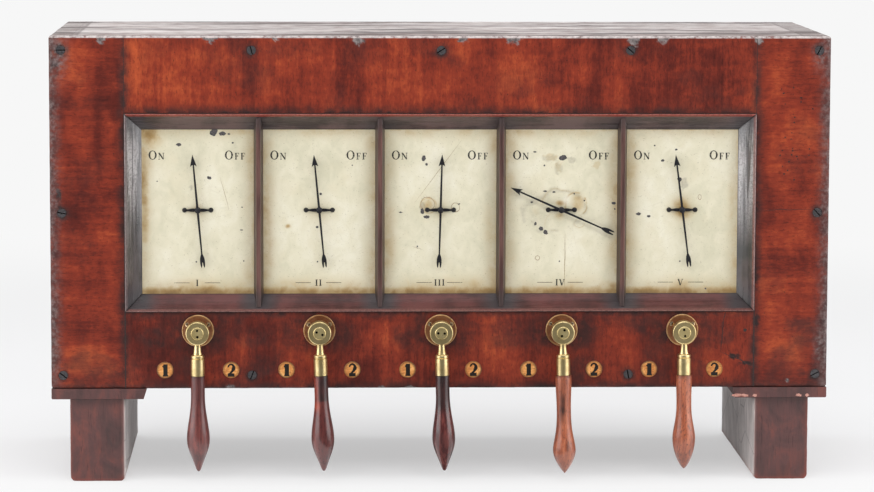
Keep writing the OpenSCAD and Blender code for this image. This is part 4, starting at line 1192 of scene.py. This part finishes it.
def grips():
    """Turned grips, finer than the solids, with the small dents of long use."""
    turn = np.linspace(0, 2 * math.pi, GRIP_TURNS, endpoint=False)[None, :]
    for number in STATIONS:
        start, down, along, radius = grip_profile(number)
        head = along[radius > FERRULE_R].min()
        tip = along.max()
        shown = np.flatnonzero(along >= head - 1e-6)
        shown = shown[np.argsort(along[shown])]
        stops = head + (tip - head) * np.sin(np.linspace(0, math.pi / 2, GRIP_RINGS))[:-1, None]
        reach = np.interp(stops, along[shown], radius[shown])
        dent = clouds(80 + number, 6 * np.cos(turn) + 20 + 0 * stops, stops / DENT_CELL + 3 * np.sin(turn))
        reach = reach - DENT_DEPTH * np.maximum(0, dent - 0.5) * np.minimum(1, reach / SLIM_R)
        side = np.array([-down[2], 0, down[0]])
        round_about = np.cos(turn)[..., None] * side + np.sin(turn)[..., None] * np.array([0, 1, 0])
        points = start + down * stops[..., None] + reach[..., None] * round_about
        points = np.concatenate([points.reshape(-1, 3), [start + down * tip]])
        rings = np.arange(len(points) - 1).reshape(-1, GRIP_TURNS)
        fan = [(after, here, len(points) - 1) for here, after in zip(rings[-1], np.roll(rings[-1], -1))]
        faces = [*grid_quads(rings, columns_join=True), *fan, rings[0]]
        piece(
            f"turned_grip_{number}", points, faces, GRIPS[number],
            "grip_light" if number > 3 else "grip_dark", f"handle_{number}", [f"handle_grip_{number}"],
            sharp=GRIP_CREASE, marks=grip_marks(number, (start + down * head)[2], tip - head),
        )


# Dials; places are given in mm from a dial's pivot, to the right and up

# Soft stains: dial, place, half width, half height, mark (0 brown, 1 grey, 2 white), strength
DIAL_STAINS = (
    (1, -58, 92, 20, 22, 0, 0.6), (1, -64, 20, 9, 90, 0, 0.55), (1, -10, -99, 60, 12, 0, 0.75),
    (1, 40, 98, 30, 8, 0, 0.4), (1, 0, 0, 15, 13, 0, 0.3), (2, 0, -3, 20, 18, 0, 0.3),
    (2, 10, 90, 60, 4, 0, 0.25), (2, -37, -19, 4, 3, 0, 0.6), (3, -15, 5, 9, 10, 0, 0.45),
    (3, 0, 0, 15, 13, 0, 0.3), (4, 6, 12, 5, 6, 2, 0.5), (4, 19, 9, 9, 11, 0, 0.55),
    (4, -1, 8, 7, 4, 0, 0.6), (4, -2, -7, 7, 7, 0, 0.45), (4, -30, -2, 6, 6, 0, 0.3),
    (4, -26, -8, 18, 14, 1, 0.2), (4, -4, -4, 28, 22, 1, 0.13), (4, 0, 2, 26, 20, 0, 0.16),
    (4, 58, -92, 16, 12, 0, 0.5), (5, 0, 2, 15, 15, 0, 0.6), (5, 60, 0, 8, 80, 0, 0.3),
)

# Rubbed patches with broken outlines: dial, place, half width, half height, mark, strength
DIAL_RUBS = (
    (4, -14, 62, 10, 5, 0, 0.28), (4, -13, 61, 9, 4, 1, 0.22), (4, -4, 50, 5, 8, 0, 0.28),
    (4, -4, 49, 5, 7, 1, 0.25), (4, 12, 59, 6, 4, 1, 0.35), (4, 41, 53, 5, 6, 0, 0.3),
    (5, 2, 32, 4, 9, 1, 0.35), (3, -21, 2, 4, 7, 1, 0.4), (1, -8, 27, 2, 4, 1, 0.4),
)

# Dark flakes and spots: dial, place, width, height
DIAL_FLAKES = (
    (1, 18.8, 91.2, 10, 8), (1, 29.3, 90.2, 9, 5), (1, 36.8, 89.7, 3, 2), (1, -21.8, 77, 6, 3.5),
    (1, 41.3, 79.2, 2.5, 2), (1, 13.8, 37.9, 5, 4), (1, -47.3, 34.1, 1.6, 1.6), (1, 51.1, -23.4, 4, 1.5),
    (1, 51.9, 3.3, 1.6, 1.6), (1, 53.7, -60, 1.6, 1.6), (2, 1.6, 19, 3, 3), (2, -2.5, -20, 3, 3),
    (2, 38.8, 52.7, 1.6, 1.6), (3, -19.9, 60.5, 5, 7), (3, -16.5, 53.9, 3, 3), (3, -21.4, -1.5, 4, 6),
    (3, -16.2, -8, 7, 4), (3, 21.8, 7, 2.5, 2), (3, -47.1, -2.8, 4, 2), (3, -27, -43.2, 2, 2),
    (4, 1.3, 61.4, 9, 6), (4, -20.3, 52.4, 2, 2), (4, -31.5, 68.4, 4, 2), (4, -19, 22, 5, 2),
    (4, -9, 21, 4, 2), (4, -35, 9, 3, 2), (4, 15, 19, 2, 2), (4, 27, 11, 2, 2), (4, 63, 1, 2, 2),
    (4, -30.6, -16.5, 3, 4), (4, -23.7, -22.2, 5, 5), (4, -18.4, -26.5, 5, 5), (4, 61.4, 7.9, 5, 3),
    (5, -7.4, 71.2, 3, 2.5), (5, -33, 75.9, 2, 2), (5, -23.3, 58.3, 4, 3), (5, -3, 36.2, 5, 5),
    (5, -51.6, -4.9, 6, 3.5), (5, -39.2, -7.9, 4, 3), (5, 28.8, -93.6, 2.5, 2),
)

# Ring stains: dial, place, two radii
DIAL_RINGS = (
    (3, -15.2, 7, 8, 8), (3, 17.7, 3.2, 5, 5), (4, -27.8, -56.9, 2.5, 2.5), (5, 20.8, 15, 2, 3),
)

# Faint rims of dried stains: dial, place, two radii, mark, strength
DIAL_RIMS = (
    (3, -15, 6, 10, 11, 0, 0.5), (4, 17, 6, 11, 12, 0, 0.5), (4, -9, -1, 32, 22, 1, 0.3),
    (4, -6, 9, 20, 14, 0, 0.28), (4, 21, -16, 6, 5, 0, 0.4), (4, -8, -14, 12, 10, 0, 0.25),
    (5, 1, 2, 15, 14, 0, 0.3),
)

# Scratches: dial, one end, other end, width
DIAL_SCRATCHES = (
    (1, 26.3, 39.4, 36.8, -1.2, 0.5), (3, -30.2, 8.8, 25.2, 83, 0.5), (3, -33, -43, -21, -47, 0.5),
    (4, 4.5, -28.7, 4.5, -94.5, 0.8),
)
SPINDLE_HOLE = (-2, -61, 1.8, 1.8)
DIAL_CELL = 1.2 * MM


def dial_marks(number):
    """Stains along the edges and about the pivot of one dial, with painted shade of the moulding and bars
    along its sides and top.
    """
    def marks(points):
        x, y, z = points.T
        pivot = PIVOTS[number - 1]
        cx, cz = (x - pivot.x) / MM, (z - pivot.z) / MM
        broad = clouds(90 + number, cx / 26, cz / 26, 5)
        patchy = clouds(97 + number, cx / 9, cz / 9, 4)
        side = DIAL_HALF - np.abs(x - pivot.x)
        bottom, top = z - SIGHT_LOW, SIGHT_HIGH - z
        stain = most(
            0.45 * falloff(bottom, 22 * MM) * (0.3 + broad),
            0.85 * falloff(bottom, 10 * MM) * (0.4 + 0.3 * patchy + 0.5 * broad),
            # Side and top bands: part stain, part painted shade of the moulding and bars.
            0.45 * falloff(side, 16 * MM) * (0.2 + broad),
            0.45 * falloff(side, 5 * MM) * (0.5 + 0.5 * patchy),
            0.42 * falloff(top, 14 * MM) * (0.2 + broad),
            0.45 * falloff(top, 4 * MM) * (0.5 + 0.5 * patchy),
            0.14 * ease((broad - 0.48) * 4),
        )
        shade = 0.2 * falloff(np.minimum(np.minimum(side, bottom), top), 11 * MM)
        layers = [stain, shade, np.zeros_like(stain)]

        def blot(index, *place):
            return spread(cx, cz, *place) * (0.6 + 0.8 * patchy)

        def rub(index, *place):
            return ragged(500 + index, cx, cz, *place)

        def rim(index, at_x, at_z, half_w, half_h):
            reach = np.hypot((cx - at_x) / half_w, (cz - at_z) / half_h) + 0.9 * (broad - 0.5)
            return falloff(np.abs(reach - 1), 0.13) * ease(patchy * 3 - 0.7)

        for table, shape in ((DIAL_STAINS, blot), (DIAL_RUBS, rub), (DIAL_RIMS, rim)):
            for index, (dial, *place, mark, strength) in enumerate(table):
                if dial == number:
                    layers[mark] = most(layers[mark], strength * shape(index, *place))
        return (*layers, 0.0)
    return marks


def dials():
    """Five painted plates, each a fine grid that carries its stains."""
    low, high = corners("dial_plates")
    half_w = (high[0] - low[0] - 4 * PITCH) / 2
    for station, pivot in zip(STATIONS, PIVOTS):
        xs, zs = (
            np.linspace(start, end, round((end - start) / DIAL_CELL) + 1)
            for start, end in ((pivot.x - half_w, pivot.x + half_w), (low[2], high[2]))
        )
        gx, gz = np.meshgrid(xs, zs, indexing="ij")
        front = np.stack([gx, np.full_like(gx, low[1]), gz], -1).reshape(-1, 3)
        number = np.arange(gx.size).reshape(gx.shape)
        rim = np.concatenate([number[:, 0], number[-1, 1:], number[-2::-1, -1], number[0, -2:0:-1]])
        back = front[rim] + np.array([0, high[1] - low[1], 0])
        behind = len(front) + np.arange(len(rim))
        skirt = grid_quads(np.stack([rim, behind]), columns_join=True)
        piece(
            f"painted_dial_{station}", np.concatenate([front, back]), [*grid_quads(number), *skirt, behind],
            DIAL_PAINT, "dial_paint", replaced=["dial_plates"], marks=dial_marks(station),
        )


def at_pivot(number, x, z):
    """Place on a dial, given in mm from its pivot."""
    pivot = PIVOTS[number - 1]
    return pivot.x + x * MM, pivot.z + z * MM


def dial_wear():
    """Flakes, ring stains and scratches on the dials."""
    stains = Relief(DIAL_Y, STAIN_PROUD)
    for seed, (dial, x, z, half_w, half_h) in enumerate(DIAL_RINGS):
        path = bow(0, 0, half_w, half_h, 0, 360, 49)[:-1]
        uneven = clouds(600 + seed, path[:, 0] / 4 + 30, path[:, 1] / 4 + 30, 3)
        path = path * (0.85 + 0.3 * uneven)[:, None] * MM + at_pivot(dial, x, z)
        stains.ribbon(path, (0.25 + 0.9 * uneven) * MM, True)
    stains.finish("ring_stains", RING_STAIN, "dial_paint")
    lines = Relief(DIAL_Y, LINE_PROUD)
    for seed, (dial, *row) in enumerate(DIAL_SCRATCHES):
        path, width = crack(620 + seed, *row, count=30, sway=1.2, waves=6, pinned=0, thin=0.25)
        lines.ribbon(path + at_pivot(dial, 0, 0), width)
    lines.finish("dial_scratches", SCRATCH, "dial_paint")
    flakes = Relief(DIAL_Y, FLAKE_PROUD)
    spots = [*DIAL_FLAKES, *[(dial, *SPINDLE_HOLE) for dial in STATIONS]]
    for seed, (dial, x, z, width, height) in enumerate(spots):
        flakes.patch(*at_pivot(dial, x, z), width, height, 640 + seed)
    flakes.finish("dial_flakes", DARK_FLAKE, "dial_paint")


# Lettering: advance of each sign and its strokes (path, widths), in shares of the height of a capital

THICK, THIN = 0.2, 0.075


def serif(x, z, half):
    return [(x - half, z), (x + half, z)], THIN


def upright(x, width):
    return [(x, 0), (x, 1)], width


OVAL = bow(0.46, 0.5, 0.36, 0.48, 0, 360, 41)[:-1]
OVAL_W = THIN + (THICK - THIN) * np.square((OVAL[:, 0] - 0.46) / 0.36)
HOOK = np.concatenate([bow(0.35, 0.71, 0.23, 0.27, 175, -25), [(0.44, 0.38), (0.26, 0.2), (0.1, 0.07)]])
SIGNS = {
    "O": (0.94, [(OVAL, OVAL_W)]),
    "N": (1.0, [
        upright(0.18, THIN), upright(0.82, THIN), ([(0.18, 0.98), (0.82, 0.02)], THICK),
        serif(0.12, 0.97, 0.1), serif(0.18, 0.03, 0.14), serif(0.82, 0.97, 0.14),
    ]),
    "F": (0.78, [
        upright(0.25, THICK), ([(0.08, 0.965), (0.7, 0.965)], THIN), ([(0.25, 0.52), (0.52, 0.52)], THIN),
        ([(0.68, 0.76), (0.68, 1)], THIN), ([(0.52, 0.4), (0.52, 0.64)], THIN), serif(0.25, 0.03, 0.17),
    ]),
    "I": (0.5, [upright(0.25, THICK), serif(0.25, 0.03, 0.17), serif(0.25, 0.97, 0.17)]),
    "V": (0.94, [
        ([(0.14, 1), (0.46, 0)], THICK), ([(0.78, 1), (0.46, 0)], THIN),
        serif(0.14, 0.97, 0.14), serif(0.78, 0.97, 0.12),
    ]),
    "1": (0.66, [upright(0.36, THICK), ([(0.12, 0.76), (0.34, 0.95)], THIN), serif(0.36, 0.03, 0.22)]),
    "2": (0.72, [(HOOK, THIN + 0.8 * (THICK - THIN) * spread(*HOOK.T, 0.55, 0.6, 0.2, 0.25)),
                 ([(0.08, 0.08), (0.64, 0.08)], 0.16)]),
}
NUMERALS = ("I", "II", "III", "IV", "V")
LABEL_RISE, LABEL_CAPS = 59.6, (10.4, 7.8)
LABEL_PLACES = {"ON": -47.9, "OFF": 44.0}
NUMERAL_X, NUMERAL_RISE, NUMERAL_CAP = -1, -89.6, 7.4
RULE_FROM, RULE_TO, RULE_W = 9.0, 27.0, 0.5 * MM
LETTER_GAP = 0.12
DISC_CAP, DISC_WEIGHT = 14.0, 1.8


def write(relief, text, middle, foot, caps, weight=1.0):
    """Sets signs side by side on a line; heights in mm, the first sign's and that of the others."""
    heights = [caps[0] * MM] + [caps[-1] * MM] * (len(text) - 1)
    advances = [(SIGNS[sign][0] + LETTER_GAP) * height for sign, height in zip(text, heights)]
    x = middle - sum(advances) / 2 + LETTER_GAP * heights[-1] / 2
    for sign, height, advance in zip(text, heights, advances):
        for path, width in SIGNS[sign][1]:
            stroke = np.asarray(width) * weight * height
            relief.ribbon(np.asarray(path) * height + (x, foot), stroke, path is OVAL)
        x += advance


def lettering():
    """Generic marking: the two positions and a numeral on each dial, plain numbers on the discs."""
    painted = Relief(DIAL_Y, INK_PROUD)
    for number in STATIONS:
        for text, x in LABEL_PLACES.items():
            write(painted, text, *at_pivot(number, x, LABEL_RISE), LABEL_CAPS)
        write(painted, NUMERALS[number - 1], *at_pivot(number, NUMERAL_X, NUMERAL_RISE), [NUMERAL_CAP])
        rule_z = NUMERAL_RISE + NUMERAL_CAP / 2
        for side in (-1, 1):
            ends = [at_pivot(number, NUMERAL_X + side * far, rule_z) for far in (RULE_FROM, RULE_TO)]
            painted.ribbon(ends, RULE_W)
    painted.finish("dial_lettering", DIAL_INK, "dial_paint")
    stamped = Relief(DISC_Y, LINE_PROUD)
    for index, (x, z) in enumerate(DISCS):
        write(stamped, "12"[index % 2], x, z - DISC_CAP / 2 * MM, [DISC_CAP], DISC_WEIGHT)
    stamped.finish("disc_numbers", DISC_INK, "boxwood")


# Studio

# White of the background, and the painted reflection that polished faces mirror in the floor: dim ahead,
# bright between these angles (radians)
WHITE = 0.93
MIRRORED = (0.24, 1.5)
WING_NEAR, WING_FAR = (0.66, 0.82), (1.65, 1.85)
FLOOR_HALF, FLOOR_GREY = 40.0, (0.84, 0.84, 0.85, 1)
SKY_TINT = (0.97, 0.98, 1.0, 1)

# Soft lights: name, place, aim, width and height in metres, power in watts
LIGHTS = (
    ("left_softbox", (-2.2, -1.2, 1.0), (0, -1.2, 1.0), 2.7, 1.9, 44),
    ("right_softbox", (2.2, -1.2, 1.0), (0, -1.2, 1.0), 2.7, 1.9, 44),
    ("front_fill", (-0.2, -2.6, 2.7), (0, FRONT_Y, 0.3), 3.0, 1.4, 52),
    ("overhead", (0, 0.1, 2.6), (0, 0.1, 0), 3.2, 2.0, 38),
)


def studio_floor():
    """Pale floor that keeps the shadow near the object and turns into plain white further off; to reflections
    it glows, dim ahead and bright in two side wings, as a painted reflection.
    """
    mesh = bpy.data.meshes.new("studio_floor")
    square = ((-1, -1), (1, -1), (1, 1), (-1, 1))
    mesh.from_pydata([(FLOOR_HALF * x, FLOOR_HALF * y, 0) for x, y in square], [], [(0, 1, 2, 3)])
    linked("studio_floor", mesh)
    p = Paint("studio_floor", Specular_IOR_Level=0.0, Base_Color=FLOOR_GREY, Roughness=0.9)
    seen, glossy = (p.node("LightPath", f"Is {kind} Ray") for kind in ("Camera", "Glossy"))
    distance = p.node("VectorMath", "Value", {0: p.place}, operation="LENGTH")
    ahead = p.math("SUBTRACT", FRONT_Y, p.y)
    angle = abs(p.x).math("ARCTAN2", ahead)
    wing = p.span(angle, *WING_NEAR) * p.span(angle, *WING_FAR, 1, 0)
    # Painted reflection: glossy rays see the floor glow, bright only in the side wings.
    bright = glossy * p.span(wing, 0, 1, *MIRRORED) + seen * WHITE
    glow = p.node("Emission", 0, {"Color": (1, 1, 1, 1), "Strength": bright})
    far = p.span(distance, 0.7, 2.6, 0.52).most(p.span(ahead, -0.2, 0.04, 0, 0.8))
    cover = (far * seen).most(glossy)
    blend = p.node("MixShader", 0, {0: cover, 1: Value(p, p.shader.outputs[0]), 2: glow})
    p.feed(p.nodes["Material Output"].inputs["Surface"], blend)
    mesh.materials.append(p.material)


def studio_world():
    """White to the camera; for the light, dark towards the camera's side and bright elsewhere."""
    world = bpy.data.worlds.new("studio")
    bpy.context.scene.world = world
    w = Tree(world)
    back = w.node("SeparateXYZ", "Y", {"Vector": w.node("TexCoord", "Generated")})
    strength = w.node("MapRange", 0, {
        "Value": back, "From Min": -0.9, "From Max": -0.3, "To Min": 0.12, "To Max": 0.46,
    })
    light = w.node("Background", 0, {"Color": SKY_TINT, "Strength": strength})
    white = w.node("Background", 0, {"Color": (WHITE, WHITE, WHITE, 1)})
    seen = w.node("LightPath", "Is Camera Ray")
    blend = w.node("MixShader", 0, {0: seen, 1: light, 2: white})
    w.feed(w.nodes["World Output"].inputs["Surface"], blend)


def soft_light(name, place, aim, width, height, power):
    data = bpy.data.lights.new(name, "AREA")
    data.shape = "RECTANGLE"
    data.size, data.size_y = width, height
    data.energy = power
    lamp = linked(name, data)
    lamp.location = place
    lamp.rotation_euler = (Vector(aim) - Vector(place)).to_track_quat("-Z", "Y").to_euler()


def studio():
    scene = bpy.context.scene
    scene.view_settings.view_transform = "Standard"
    studio_floor()
    studio_world()
    for light in LIGHTS:
        soft_light(*light)
    camera = linked("camera", bpy.data.cameras.new("camera"))
    camera.data.lens = FOCAL_PX / IMAGE_W * camera.data.sensor_width
    camera.location = (CAMERA_X, FRONT_Y - CAMERA_BACK, CAMERA_Z)
    turn = (90 - CAMERA_PITCH, CAMERA_ROLL, CAMERA_YAW)
    camera.rotation_euler = [math.radians(angle) for angle in turn]
    scene.camera = camera


dress_nodes()
front_frame()
front_damage()
carcass()
feet()
roses()
bridges()
needles()
grips()
dials()
dial_wear()
lettering()
studio()
